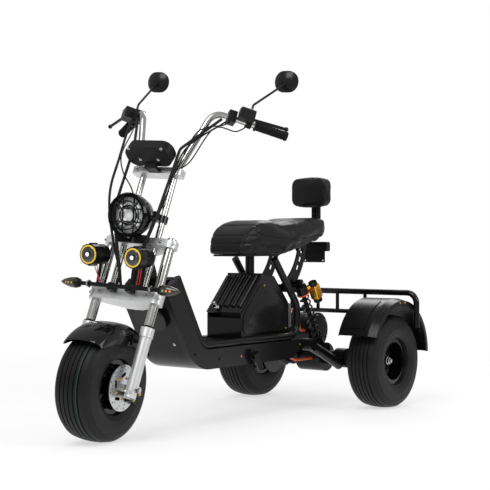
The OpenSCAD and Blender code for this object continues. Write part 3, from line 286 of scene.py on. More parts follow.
yellowRing = finish("yellow_ring", (0.90, 0.62, 0.05), (0.80, 0.50, 0.03), 0.30, 0.08, bump=0.04)
lampGlass = finish("lamp_glass", (0.86, 0.88, 0.90), (0.70, 0.73, 0.76), 0.08, 0.05, coat=0.5, bump=0.25, scale=120,
                   depth=0.001)
mirrorFace = finish("mirror_face", (0.86, 0.88, 0.90), (0.80, 0.82, 0.85), 0.04, 0.02, metal=1.0, bump=0)
rubberMat = finish("rubber_mat", (0.0065, 0.0065, 0.0065), (0.0045, 0.0045, 0.0045), 0.55, 0.14, bump=0.35,
                   scale=80, spec=0.18)
orangeCable = finish("orange_cable", (0.80, 0.12, 0.03), (0.62, 0.08, 0.02), 0.42, 0.12, bump=0.10)
blackSleeve = finish("black_sleeve", (0.006, 0.006, 0.006), (0.004, 0.004, 0.004), 0.55, 0.10, bump=0.6, braid=170,
                     depth=0.0008, spec=0.18)
leatherette = finish("black_leatherette", (0.006, 0.006, 0.0065), (0.004, 0.004, 0.0045), 0.36, 0.12, bump=0.20,
                     grain=430, sheen=0.02, scale=18, spec=0.24)
tyreRubber = finish("tyre_rubber", (0.0065, 0.0065, 0.007), (0.0095, 0.0095, 0.010), 0.46, 0.14, bump=0.25,
                    scale=45, scuff=0.05, spec=0.20)
brightSteel = finish("chrome_tube", (0.66, 0.66, 0.66), (0.50, 0.50, 0.50), 0.24, 0.14, metal=1.0, bump=0.08,
                     label="brightSteel")
brass = finish("gold_anodised", (0.72, 0.52, 0.20), (0.55, 0.38, 0.13), 0.30, 0.12, metal=1.0, bump=0.08,
               label="brass")
redPlastic = finish("orange_cable", (0.62, 0.03, 0.02), (0.48, 0.02, 0.015), 0.32, 0.08, bump=0.08,
                    label="redPlastic")
whiteLamp = finish("lamp_glass", (0.90, 0.91, 0.92), (0.78, 0.80, 0.82), 0.15, 0.08, coat=0.5, bump=0.10,
                   glow=(1.0, 0.99, 0.96, 0.35), label="whiteLamp")
smokedLens = finish("black_plastic", (0.040, 0.030, 0.022), (0.022, 0.016, 0.012), 0.10, 0.05, coat=0.3, bump=0.05,
                    label="smokedLens")
amberDot = finish("orange_cable", (0.85, 0.34, 0.04), (0.70, 0.24, 0.02), 0.22, 0.06, bump=0.05, label="amberDot")
greenDot = finish("yellow_ring", (0.20, 0.55, 0.14), (0.14, 0.42, 0.09), 0.22, 0.06, bump=0.05, label="greenDot")
tealLine = finish("tyre_rubber", (0.015, 0.070, 0.072), (0.010, 0.040, 0.042), 0.55, 0.12, bump=0.12,
                  label="tealLine")
screenGlass = finish("gloss_black_paint", (0.010, 0.012, 0.016), (0.016, 0.020, 0.026), 0.08, 0.04, coat=1.0,
                     bump=0.01, label="screenGlass")

# Which finish each CAD node takes
nodeFinish = {
    satinBlack: "leg_shield frame_tubes head_tube seat_brackets rear_arms rear_fenders",
    glossBlack: "box_shell cargo_rack headlight front_fender front_rim left_rim right_rim horn",
    darkGrey: "side_rails box_lid mirrors",
    blackPlastic: "floor_panel tail_lamp switch_blocks brake_levers dash_pod turn_signals",
    blackMetal: "battery seat_post seat_pan backrest_post axle_housing drive_motor shock_bodies shock_springs"
                " foot_pegs spot_lamps lamp_bar front_caliper",
    greyCasting: "controller", silverCasting: "lower_clamp upper_clamp sliders bar_bracket",
    chromeTube: "stanchions riser_tubes handlebar front_axle", discSteel: "front_disc",
    goldAnodised: "shock_reservoirs", yellowRing: "spot_rings", lampGlass: "headlight_lens",
    mirrorFace: "mirror_glass", rubberMat: "deck_mat grips", orangeCable: "power_cables",
    blackSleeve: "cable_sleeves", leatherette: "seat_cushion backrest_pad",
    tyreRubber: "front_tyre left_tyre right_tyre",
}
for mat, names in nodeFinish.items():
    for name in names.split():
        slots = nodes[name].material_slots
        if not slots:
            nodes[name].data.materials.append(mat)
        for slot in slots:
            slot.material = mat
print("CAD nodes dressed")


# Mesh helpers
def turnTo(axis, ref=None):
    z = Vector(axis).normalized()
    ref = Vector(ref) if ref is not None else (Vector((0, 0, 1)) if abs(z.z) < 0.9 else Vector((1, 0, 0)))
    x = (ref - z * ref.dot(z)).normalized()
    return Matrix((x, z.cross(x), z)).transposed()


def angles(steps, shift=0.0):
    return [2 * math.pi * (k + shift) / steps for k in range(steps)]


def addLathe(bm, centre, axis, profile, steps=32, ref=None):
    turn = turnTo(axis, ref)
    rows = []
    for r, h in profile:
        if r < 1e-6:
            rows.append([bm.verts.new(centre + turn @ Vector((0, 0, h)))])
        else:
            rows.append([bm.verts.new(centre + turn @ Vector((r * math.cos(a), r * math.sin(a), h)))
                         for a in angles(steps)])
    for low, high in zip(rows, rows[1:]):
        for i in range(steps):
            k = (i + 1) % steps
            ring = [low[i], low[k], high[k], high[i]] if len(low) > 1 and len(high) > 1 else (
                [low[0], high[k], high[i]] if len(high) > 1 else [low[i], low[k], high[0]])
            bm.faces.new(ring)


def addTorus(bm, centre, axis, radius, tube, steps=40, sides=10):
    turn = turnTo(axis)
    rings = []
    for a in angles(steps):
        out = Vector((math.cos(a), math.sin(a), 0))
        spots = [out * (radius + tube * math.cos(b)) + Vector((0, 0, tube * math.sin(b))) for b in angles(sides)]
        rings.append([bm.verts.new(centre + turn @ spot) for spot in spots])
    for i in range(steps):
        one, two = rings[i], rings[(i + 1) % steps]
        for k in range(sides):
            bm.faces.new([one[k], two[k], two[(k + 1) % sides], one[(k + 1) % sides]])


def smoothPath(points, steps=8):
    path = [Vector(p) for p in points]
    out = []
    for i in range(len(path) - 1):
        a, b = path[max(i - 1, 0)], path[i]
        c, d = path[i + 1], path[min(i + 2, len(path) - 1)]
        for k in range(steps):
            t = k / steps
            out.append(0.5 * (2 * b + (c - a) * t + (2 * a - 5 * b + 4 * c - d) * t * t
                              + (3 * b - a - 3 * c + d) * t ** 3))
    return out + [path[-1]]


def addTube(bm, path, radius, sides=12):
    rings, side = [], None
    for i, p in enumerate(path):
        along = (path[min(i + 1, len(path) - 1)] - path[max(i - 1, 0)]).normalized()
        if side is None:
            side = along.orthogonal().normalized()
        side = (side - along * side.dot(along)).normalized()
        up = along.cross(side)
        rings.append([bm.verts.new(p + radius * (math.cos(a) * side + math.sin(a) * up))
                      for a in angles(sides)])
    for one, two in zip(rings, rings[1:]):
        for k in range(sides):
            bm.faces.new([one[k], one[(k + 1) % sides], two[(k + 1) % sides], two[k]])
    for ring in (rings[0], rings[-1]):
        bm.faces.new(ring)


def addBlock(bm, centre, turn, size, bevel=0.002, rounds=3):
    place = Matrix.Translation(centre) @ turn.to_4x4() @ Matrix.Diagonal((*size, 1))
    made = bmesh.ops.create_cube(bm, size=1.0, matrix=place)
    edges = list({e for v in made["verts"] for e in v.link_edges})
    bmesh.ops.bevel(bm, geom=edges, offset=bevel, segments=rounds, profile=0.6, affect="EDGES", clamp_overlap=True)


def addPlate(bm, outline, out, thick, bevel=0.0012):
    low = [bm.verts.new(p) for p in outline]
    high = [bm.verts.new(p + out * thick) for p in outline]
    bm.faces.new(low)
    top = bm.faces.new(high)
    for i in range(len(low)):
        k = (i + 1) % len(low)
        bm.faces.new([low[i], low[k], high[k], high[i]])
    bmesh.ops.bevel(bm, geom=list(top.edges), offset=bevel, segments=2, profile=0.6, affect="EDGES",
                    clamp_overlap=True)


def meshFrom(bm, name):
    mesh = bpy.data.meshes.new(name)
    bm.to_mesh(mesh)
    bm.free()
    return mesh


def settle(name, mesh, body, angle):
    mesh.shade_smooth()
    mesh.set_sharp_from_angle(angle=math.radians(angle))
    obj = addObject(name, mesh)
    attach(obj, body)
    return obj


def piece(name, bm, mat, body, angle=35):
    bmesh.ops.remove_doubles(bm, verts=bm.verts, dist=1e-6)
    bmesh.ops.recalc_face_normals(bm, faces=bm.faces)
    mesh = meshFrom(bm, name)
    mesh.materials.append(mat)
    return settle(name, mesh, body, angle)


def skinOf(mesh):
    bm = bmesh.new()
    bm.from_mesh(mesh)
    skin = BVHTree.FromBMesh(bm)
    bm.free()
    return skin


skins = {}


# Where a ray first meets a node's surface, and the way that surface faces
def onSkin(node, start, direction):
    if node not in skins:
        skins[node] = skinOf(nodes[node].data)
    place, normal, _, _ = skins[node].ray_cast(start, Vector(direction).normalized(), 2.0)
    if place is None:
        print("no skin of", node, "at", [round(c, 3) for c in start])
        return None
    return place, (-normal if normal.dot(direction) > 0 else normal)


def nodeSpots(node, along, side=0):
    pts = [v.co.copy() for v in nodes[node].data.vertices]
    if side:
        pts = [p for p in pts if (p - wheelCentre).dot(forkLeft) * side > 0]
    span = [p.dot(along) for p in pts]
    return pts, min(span), max(span)


# Geometry Nodes: what repeats on points and along lines
def growTree(name, sockets):
    tree = bpy.data.node_groups.new(name, "GeometryNodeTree")
    tree.interface.new_socket("Geometry", in_out="INPUT", socket_type="NodeSocketGeometry")
    ids = {}
    for label, kind, value in sockets + [("Finish", "NodeSocketMaterial", None)]:
        socket = tree.interface.new_socket(label, in_out="INPUT", socket_type=kind)
        if value is not None:
            socket.default_value = value
        ids[label] = socket.identifier
    tree.interface.new_socket("Geometry", in_out="OUTPUT", socket_type="NodeSocketGeometry")
    return tree, ids, tree.nodes.new("NodeGroupInput"), tree.nodes.new("NodeGroupOutput")


def endTree(tree, gin, gout, scatter):
    real = tree.nodes.new("GeometryNodeRealizeInstances")
    dress = tree.nodes.new("GeometryNodeSetMaterial")
    tree.links.new(scatter.outputs["Instances"], real.inputs[0])
    tree.links.new(real.outputs[0], dress.inputs["Geometry"])
    tree.links.new(gin.outputs["Finish"], dress.inputs["Material"])
    tree.links.new(dress.outputs[0], gout.inputs[0])


def solidNode(tree, kind, lift=None, scale=None, **values):
    node = addNode(tree, kind, **values)
    move = addNode(tree, "GeometryNodeTransform", Geometry=node.outputs["Mesh"])
    if lift is not None:
        combine = addNode(tree, "ShaderNodeCombineXYZ", Z=lift)
        tree.links.new(combine.outputs[0], move.inputs["Translation"])
    if scale is not None:
        move.inputs["Scale"].default_value = scale
    return move.outputs["Geometry"]


def buildScrews():
    tree, ids, gin, gout = growTree("screwHeads", [("Head Radius", "NodeSocketFloat", 0.005),
                                                   ("Head Height", "NodeSocketFloat", 0.004),
                                                   ("Washer Radius", "NodeSocketFloat", 0.007)])
    half = mathNode(tree, "MULTIPLY", gin.outputs["Head Height"], 0.5)
    lifted = mathNode(tree, "ADD", half, 0.0012)
    head = solidNode(tree, "GeometryNodeMeshCylinder", lift=lifted, Vertices=6,
                     Radius=gin.outputs["Head Radius"], Depth=gin.outputs["Head Height"])
    washer = solidNode(tree, "GeometryNodeMeshCylinder", Vertices=18, Radius=gin.outputs["Washer Radius"],
                       Depth=0.0026)
    cap = solidNode(tree, "GeometryNodeMeshUVSphere", lift=mathNode(tree, "ADD", gin.outputs["Head Height"], 0.0010),
                    scale=(1, 1, 0.35), Segments=12, Rings=6,
                    Radius=mathNode(tree, "MULTIPLY", gin.outputs["Head Radius"], 0.75))
    join = tree.nodes.new("GeometryNodeJoinGeometry")
    for part in (head, washer, cap):
        tree.links.new(part, join.inputs[0])
    facing = tree.nodes.new("GeometryNodeInputNamedAttribute")
    facing.data_type = "FLOAT_VECTOR"
    facing.inputs["Name"].default_value = "facing"
    align = tree.nodes.new("FunctionNodeAlignRotationToVector")
    align.axis = "Z"
    tree.links.new(facing.outputs["Attribute"], align.inputs["Vector"])
    scatter = tree.nodes.new("GeometryNodeInstanceOnPoints")
    tree.links.new(gin.outputs["Geometry"], scatter.inputs["Points"])
    tree.links.new(join.outputs[0], scatter.inputs["Instance"])
    tree.links.new(align.outputs[0], scatter.inputs["Rotation"])
    endTree(tree, gin, gout, scatter)
    return tree, ids


def buildAlong(name, shape):
    tree, ids, gin, gout = growTree(name, [("Spacing", "NodeSocketFloat", 0.006),
                                           ("Radius", "NodeSocketFloat", 0.017),
                                           ("Thickness", "NodeSocketFloat", 0.001)])
    line = tree.nodes.new("GeometryNodeMeshToCurve")
    spots = tree.nodes.new("GeometryNodeCurveToPoints")
    spots.mode = "LENGTH"
    tree.links.new(gin.outputs["Geometry"], line.inputs["Mesh"])
    tree.links.new(line.outputs[0], spots.inputs["Curve"])
    tree.links.new(gin.outputs["Spacing"], spots.inputs["Length"])
    if shape == "ring":
        loop = addNode(tree, "GeometryNodeCurvePrimitiveCircle", Resolution=28, Radius=gin.outputs["Radius"])
        wire = addNode(tree, "GeometryNodeCurvePrimitiveCircle", Resolution=8, Radius=gin.outputs["Thickness"])
        sweep = addNode(tree, "GeometryNodeCurveToMesh", Curve=loop.outputs[0], Profile_Curve=wire.outputs[0])
        unit = sweep.outputs[0]
    else:
        unit = solidNode(tree, "GeometryNodeMeshUVSphere", scale=(1, 1, 2.6), Segments=8, Rings=6,
                         Radius=gin.outputs["Thickness"])
    scatter = tree.nodes.new("GeometryNodeInstanceOnPoints")
    tree.links.new(spots.outputs["Points"], scatter.inputs["Points"])
    tree.links.new(spots.outputs["Rotation"], scatter.inputs["Rotation"])
    tree.links.new(unit, scatter.inputs["Instance"])
    endTree(tree, gin, gout, scatter)
    return tree, ids


screwTree, ribTree, stitchTree = buildScrews(), buildAlong("gripRibs", "ring"), buildAlong("seamStitches", "stitch")


def grow(name, holder, tree, values, mat, body, angle=35):
    group, ids = tree
    mod = holder.modifiers.new("grow", "NODES")
    mod.node_group = group
    for label, value in values.items():
        mod[ids[label]] = value
    mod[ids["Finish"]] = mat
    mesh = bpy.data.meshes.new_from_object(holder.evaluated_get(bpy.context.evaluated_depsgraph_get()))
    bpy.data.objects.remove(holder)
    mesh.name = name
    return settle(name, mesh, body, angle)


def screws(name, spots, mat, body, size=5.0):
    found = [s for s in spots if s is not None]
    mesh = bpy.data.meshes.new(name)
    mesh.from_pydata([p for p, _ in found], [], [])
    facing = mesh.attributes.new("facing", "FLOAT_VECTOR", "POINT")
    for item, (_, normal) in zip(facing.data, found):
        item.vector = normal
    holder = addObject(name + "Points", mesh)
    values = {"Head Radius": size * mm, "Head Height": size * 0.7 * mm, "Washer Radius": size * 1.45 * mm}
    return grow(name, holder, screwTree, values, mat, body)


def alongPath(name, paths, tree, values, mat, body):
    mesh = bpy.data.meshes.new(name)
    verts, edges = [], []
    for path in paths:
        edges += [(len(verts) + i, len(verts) + i + 1) for i in range(len(path) - 1)]
        verts += path
    mesh.from_pydata(verts, edges, [])
    return grow(name, addObject(name + "Line", mesh), tree, values, mat, body)


sides = (1, -1)

# Padded seat and backrest
seatSet = {"voxel": 0.0055, "shrink": 0.004, "cap": 0.009, "soften": 7, "seamX": 588, "seamWide": 0.0036,
           "seamDeep": 0.0026,
           "channels": (712, 744), "channelDeep": 0.0016, "sideDeep": 0.0030, "sideWide": 0.0045, "pipe": 0.0024,
           "pipeLift": 0.0006, "stitchLift": 0.0003, "stitchMid": 0.735, "fill": 0.85}
backSet = {"voxel": 0.005, "shrink": 0.004, "cap": 0.010, "soften": 6, "seamWide": 0.0035, "seamDeep": 0.0035,
           "inset": 0.016,
           "pipe": 0.0022, "fill": 0.85}
clothSet = {"quality": 5, "mass": 0.3, "stiff": 40, "bending": 6, "pressure": 4, "frames": 20, "ease": 10}


def padMesh(node, settings, keepLow):
    bm = bmesh.new()
    bm.from_mesh(nodes[node].data)
    bmesh.ops.remove_doubles(bm, verts=bm.verts, dist=2e-5)
    bmesh.ops.recalc_face_normals(bm, faces=bm.faces)
    obj = addObject(node + "Pad", meshFrom(bm, node + "Pad"))
    remesh = obj.modifiers.new("remesh", "REMESH")
    remesh.mode = "VOXEL"
    remesh.voxel_size = settings["voxel"]
    bakeModifiers(obj)
    ease(obj, settings["soften"])
    bm = bmesh.new()
    bm.from_mesh(obj.data)
    bm.normal_update()
    for v, n in [(v, v.normal.copy()) for v in bm.verts]:
        if n.z > keepLow:
            v.co -= n * settings["shrink"]
    bm.to_mesh(obj.data)
    bm.free()
    swell(obj, settings["cap"], keepLow)
    sub = obj.modifiers.new("sub", "SUBSURF")
    sub.levels = sub.render_levels = 1
    bakeModifiers(obj)
    return obj


def bakeModifiers(obj):
    mesh = bpy.data.meshes.new_from_object(obj.evaluated_get(bpy.context.evaluated_depsgraph_get()))
    obj.modifiers.clear()
    obj.data = mesh


def ease(obj, turns):
    bm = bmesh.new()
    bm.from_mesh(obj.data)
    for _ in range(turns):
        bmesh.ops.smooth_vert(bm, verts=bm.verts, factor=0.5, use_axis_x=True, use_axis_y=True, use_axis_z=True)
    bm.to_mesh(obj.data)
    bm.free()


def swell(obj, cap, keepLow):
    start = [v.co.copy() for v in obj.data.vertices]
    normals = [v.normal.copy() for v in obj.data.vertices]
    cloth = obj.modifiers.new("cloth", "CLOTH")
    cloth.settings.quality = clothSet["quality"]
    cloth.settings.mass = clothSet["mass"]
    cloth.settings.tension_stiffness = cloth.settings.compression_stiffness = clothSet["stiff"]
    cloth.settings.bending_stiffness = clothSet["bending"]
    cloth.settings.use_pressure = True
    cloth.settings.uniform_pressure_force = clothSet["pressure"]
    cloth.settings.effector_weights.gravity = 0
    cloth.collision_settings.use_collision = False
    for step in range(1, clothSet["frames"] + 1):
        scene.frame_set(step)
    grown = obj.evaluated_get(bpy.context.evaluated_depsgraph_get()).data
    moved = [v.co.copy() for v in grown.vertices]
    obj.modifiers.clear()
    for v, a, b, n in zip(obj.data.vertices, start, moved, normals):
        step = b - a if n.z > keepLow else Vector()
        v.co = a + step * min(1.0, cap / max(step.length, 1e-9))
    scene.frame_set(1)
    ease(obj, clothSet["ease"])


def press(obj, seams):
    mesh = obj.data
    normals = [v.normal.copy() for v in mesh.vertices]
    for v, n in zip(mesh.vertices, normals):
        sink = sum(deep * math.exp(-(gap(v.co, n) / wide) ** 2) for gap, deep, wide in seams)
        v.co -= n * min(sink, 0.006)
    mesh.update()


def finishPad(obj, name, body, mat, node):
    obj.name = obj.data.name = name
    obj.data.materials.clear()
    obj.data.materials.append(mat)
    obj.data.shade_smooth()
    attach(obj, body)
    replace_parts(obj, node)


def pipeLine(x):
    t = (x - rearX) / mm
    return (756 - 22 * math.sin(math.pi * min(max((t - 120) / 470, 0), 1))) * mm


seamX = rearX + seatSet["seamX"] * mm
far = 1.0
seat = padMesh("seat_cushion", seatSet, -0.55)
seatSeams = [
    (lambda p, n: abs(p.x - seamX), seatSet["seamDeep"], seatSet["seamWide"]),
    (lambda p, n: abs(p.z - pipeLine(p.x)) if p.x < seamX and abs(n.y) > 0.45 else far,
     seatSet["sideDeep"], seatSet["sideWide"]),
]
for level in seatSet["channels"]:
    seatSeams.append((lambda p, n, z=level * mm: abs(p.z - z) if p.x > seamX + 0.004 else far,
                      seatSet["channelDeep"], seatSet["seamWide"]))
press(seat, seatSeams)
finishPad(seat, "seatPad", "chassis", leatherette, "seat_cushion")

back = padMesh("backrest_pad", backSet, -2)
backLow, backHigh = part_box("backrest_pad")
backMid = (backLow + backHigh) / 2
backEdges = (backLow.x + backSet["inset"], backHigh.x - backSet["inset"])
backSeams = [(lambda p, n, x=x: abs(p.x - x) if abs(n.x) < 0.75 else far, backSet["seamDeep"], backSet["seamWide"])
             for x in backEdges]
press(back, backSeams)
finishPad(back, "backrestPad", "chassis", leatherette, "backrest_pad")
print("seat and backrest padded,", len(seat.data.polygons) + len(back.data.polygons), "faces")


# A line on a pad's skin, from points inside it along outward rays
def skinRow(skin, spots, reach, lift, behind=-far):
    row = []
    for start, ray in spots:
        hit = skin.ray_cast(start + ray * reach, -ray, reach)[0]
        if hit is not None and hit.x > behind:
            row.append(hit + ray * lift)
    return row


def fan(low, turn, steps):
    return [math.radians(low + turn * i / steps) for i in range(steps + 1)]


seatSkin, backSkin = skinOf(seat.data), skinOf(back.data)
bm = bmesh.new()
for side in sides:
    spots = [rearX + (70 + (seatSet["seamX"] - 76) * i / 44) * mm for i in range(45)]
    spots = [(Vector((x, 0, pipeLine(x))), Vector((0, side, 0))) for x in spots]
    addTube(bm, skinRow(seatSkin, spots, 0.3, seatSet["pipeLift"]), seatSet["pipe"], 8)
for x in backEdges:
    spots = [(Vector((x, backMid.y, backMid.z)), Vector((0, math.cos(a), math.sin(a)))) for a in fan(0, 360, 72)]
    addTube(bm, skinRow(backSkin, spots, 0.3, seatSet["pipeLift"]), backSet["pipe"], 8)
piece("padPiping", bm, leatherette, "chassis", 60)

stitchPaths = []
for shift in (-9, 9):
    start = Vector((seamX + shift * mm, 0, seatSet["stitchMid"]))
    spots = [(start, Vector((0, math.cos(a), math.sin(a)))) for a in fan(-25, 230, 60)]
    stitchPaths.append(skinRow(seatSkin, spots, 0.4, seatSet["stitchLift"]))
for level in seatSet["channels"]:
    for shift in (-7, 7):
        start = Vector((seamX + 0.02, 0, (level + shift) * mm))
        spots = [(start, Vector((math.cos(a), math.sin(a), 0))) for a in fan(-80, 160, 40)]
        stitchPaths.append(skinRow(seatSkin, spots, 0.4, seatSet["stitchLift"], seamX + 0.012))
alongPath("seatStitches", [p for p in stitchPaths if len(p) > 3], stitchTree,
          {"Spacing": 0.0065, "Radius": 0.001, "Thickness": 0.0007}, blackSleeve, "chassis")
print("seams sewn")

# Handlebar controls
barEnd, barBend = Vector((-200, 382, 1110)), Vector((0, 160, 1110))
gripWay = (barEnd - barBend).normalized()
gripAhead = Vector((0, 0, 1)).cross(-gripWay).normalized()
gripSet = {"length": 130, "ribs": 0.0058, "rib": 0.0013}


def onBar(back, side, ahead=0.0, up=0.0):
    p = barEnd - gripWay * back + gripAhead * ahead + Vector((0, 0, up))
    return forkAt(p.x, p.y * side, p.z)


def barDir(v, side):
    return forkDir(v.x, v.y * side, v.z)


ribPaths = [[onBar(6, s), onBar(gripSet["length"] - 6, s)] for s in sides]
alongPath("gripRibs", ribPaths, ribTree, {"Spacing": gripSet["ribs"], "Radius": 0.0172, "Thickness": gripSet["rib"]},
          rubberMat, "fork")
bm = bmesh.new()
for s in sides:
    way = barDir(gripWay, s)
    addLathe(bm, onBar(3, s), way, [(0.0165, -0.004), (0.0192, -0.003), (0.0192, 0.003), (0.015, 0.006),
                                    (0.006, 0.0065), (0, 0.0066)], 28)
    addLathe(bm, onBar(gripSet["length"] - 2, s), way, [(0.0168, -0.003), (0.0205, -0.003), (0.0205, 0.003),
                                                        (0.0168, 0.003)], 28)
piece("gripEnds", bm, blackPlastic, "fork")

bm = bmesh.new()
for s in sides:
    for up in (8, -8):
        hit = onSkin("switch_blocks", onBar(226, s, -60, up), barDir(gripAhead, s))
        if hit:
            addLathe(bm, hit[0], hit[1], [(0.0056, -0.001), (0.0056, 0.003), (0.0045, 0.0045), (0, 0.0050)], 18)
piece("switchButtons", bm, redPlastic, "fork")
bm = bmesh.new()
for s in sides:
    hit = onSkin("brake_levers", onBar(176, s, 34, 90), forkDir(0, 0, -1))
    if hit:
        turn = Matrix((barDir(gripWay, s), barDir(gripAhead, s), forkUp)).transposed()
        addBlock(bm, hit[0] + forkUp * 0.0015, turn, (0.050, 0.030, 0.006), 0.0025)
piece("reservoirCovers", bm, greyCasting, "fork")
coverBolts = [onSkin("brake_levers", onBar(176 + d, s, 34, 90), forkDir(0, 0, -1)) for s in sides for d in (-18, 18)]
screws("coverBolts", [(p + n * 0.0045, n) if (p and n) else None for p, n in coverBolts], brightSteel, "fork", 2.4)

# Fork tubes with their chamfers, smooth all round
tubeSet = {"stanchions": (0, 129, 18.0, 150, 578), "riser_tubes": (6, 70, 12.0, 363.3, 834)}
for node, (x, y, r, low, high) in tubeSet.items():
    bm = bmesh.new()
    for s in sides:
        rows = [(0, low), (r - 1, low), (r, low + 1)]
        rows += [(r, low + 1 + (high - low - 4) * k / 12) for k in range(1, 13)]
        rows += [(r - 2.5, high), (r * 0.45, high), (r * 0.45, high - 3), (0, high - 3)]
        addLathe(bm, forkAt(x, s * y, 0), forkUp, [(a * mm, h * mm) for a, h in rows], 56)
    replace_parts(piece(node + "Chrome", bm, chromeTube, "fork", 30), node)

# Fork details
forkSet = {"half": 129, "lugs": (16, 62, 108, 154), "hose": 0.0027}
bm = bmesh.new()
for s in sides:
    for z in forkSet["lugs"]:
        addTorus(bm, forkAt(-25.5, s * forkSet["half"], z), forkUp, 0.0050, 0.0021, 22, 8)
        addBlock(bm, forkAt(-21.0, s * forkSet["half"], z), forkTurn, (0.006, 0.012, 0.011), 0.0015)
    for z, r in ((-30, 0.0215), (186, 0.0222)):
        addTorus(bm, forkAt(0, s * forkSet["half"], z), forkUp, r, 0.0014, 36, 8)
piece("sliderLugs", bm, silverCasting, "fork")
bm = bmesh.new()
for s in sides:
    addLathe(bm, forkAt(0, s * forkSet["half"], 228), forkUp,
             [(0.0184, -0.001), (0.0245, -0.001), (0.0245, 0.003), (0.0215, 0.006), (0.0184, 0.009),
              (0.0184, -0.001)], 36)
piece("dustSeals", bm, blackPlastic, "fork")
hose = [forkAt(*p) for p in ((-52, 112, 12), (-46, 118, 16), (-30, 127, 18), (-25.5, 129, 40), (-25.5, 129, 80),
                             (-25.5, 129, 140),
                             (-26, 128, 190), (-32, 124, 250), (-30, 120, 300), (-24, 118, 318.5))]
bm = bmesh.new()
addTube(bm, smoothPath(hose), forkSet["hose"], 10)
piece("brakeHose", bm, blackSleeve, "fork", 60)

# Thin control cables from the levers and switches to the bracket, the lamps and the lower clamp
cableSet = [
    (2.6 * mm, [(-89.6, 266.1, 1096), (-73.6, 232.1, 1064), (24, 196, 1026),
              (34, 140, 886), (36, 104, 850), (33, 88, 839)]),
    (2.6 * mm, [(-42.7, 220.1, 1096), (-24.7, 204.1, 1066), (44, 142, 1000), (60, 108, 836),
              (58, 82, 744), (22, 66, 700), (6, 66, 664)]),
    (3.4 * mm, [(-44.7, 208.1, 1096), (-28.7, 190.1, 1070), (56, 116, 918), (80, 108, 724),
              (78, 88, 610), (50, 52, 500), (30, 42, 420), (24, 40, 364)]),
    (5 * mm, [(-42.7, -212.1, 1096), (-14.7, -218.1, 1050), (78, -152, 856), (92, -142, 740),
              (88, -118, 640), (66, -74, 520), (36, -40, 430), (24, -38, 364)]),
    (2.6 * mm, [(-89.6, -266.1, 1096), (-67.6, -236.1, 1058), (52, -166, 896), (62, -128, 816),
              (44, -84, 760), (14, -66, 706), (6, -66, 668)]),
]
bm = bmesh.new()
for radius, points in cableSet:
    addTube(bm, smoothPath([forkAt(*p) for p in points]), radius, 10)
piece("controlCables", bm, blackSleeve, "fork", 60)

pinch = []
for z, node in ((340, "lower_clamp"), (552, "upper_clamp")):
    for s in sides:
        for y in ((104, 152) if node == "lower_clamp" else (106, 150)):
            pinch.append(onSkin(node, forkAt(120, s * y, z), forkDir(-1, 0, 0)))
for s in sides:
    pinch.append(onSkin("sliders", forkAt(80, s * 118, -14), forkDir(-1, 0, 0)))
    pinch.append(onSkin("sliders", forkAt(80, s * 140, -14), forkDir(-1, 0, 0)))
    pinch.append(onSkin("bar_bracket", forkAt(14, s * 30, 900), forkDir(0, 0, -1)))
    pinch.append(onSkin("bar_bracket", forkAt(90, s * 84, 838), forkDir(-1, 0, 0)))
screws("clampBolts", pinch, brightSteel, "fork", 4.2)
screws("caliperBolts", [onSkin("front_caliper", forkAt(-62, 200, z), forkDir(0, -1, 0)) for z in (-24, 2)]
       + [onSkin("front_caliper", forkAt(-40, 200, -4), forkDir(0, -1, 0))], brass, "fork", 5.0)
print("fork dressed")

# Lamps at the front
headSet = {"front": (130, 0, 612.6), "ring": 0.071, "wire": 0.0030, "bars": (-24, 24)}
headAt = forkAt(*headSet["front"])
bm = bmesh.new()
addTorus(bm, headAt, levelAhead, headSet["ring"], 0.0042, 56, 10)
addTorus(bm, headAt, levelAhead, 0.036, headSet["wire"], 40, 8)
for offset in headSet["bars"]:
    reach = math.sqrt(headSet["ring"] ** 2 - (offset * mm) ** 2)
    for one, two in ((levelUp, forkLeft), (forkLeft, levelUp)):
        addTube(bm, [headAt + one * offset * mm + two * reach * t for t in (-1, -0.5, 0, 0.5, 1)], headSet["wire"], 8)
for k in range(4):
    a = math.pi / 4 + k * math.pi / 2
    out = math.cos(a) * forkLeft + math.sin(a) * levelUp
    addTube(bm, [headAt + out * (headSet["ring"] + d) for d in (-0.002, 0.006, 0.013)], 0.0035, 8)
piece("headlightGrille", bm, glossBlack, "fork")
bm = bmesh.new()
bowls = bmesh.new()
lampTurn = Matrix((forkLeft, levelUp, forkLeft.cross(levelUp))).transposed()
for dx in (-28, 28):
    for dz in (-24, 24):
        hit = onSkin("headlight_lens", headAt + levelAhead * 0.1 + forkLeft * dx * mm + levelUp * dz * mm,
                     -levelAhead)
        if hit:
            addBlock(bm, hit[0], lampTurn, (0.030, 0.026, 0.006), 0.0028)
            addTorus(bowls, hit[0], levelAhead, 0.0215, 0.0022, 32, 8)
piece("headlightLeds", bm, whiteLamp, "fork")
piece("headlightBowls", bowls, chromeTube, "fork")
bm = bmesh.new()
for s in sides:
    addBlock(bm, forkAt(60, s * 38, 549), Matrix((levelAhead, forkLeft, levelUp)).transposed(),
             (0.052, 0.034, 0.030), 0.004)
piece("headlightFeet", bm, blackPlastic, "fork")

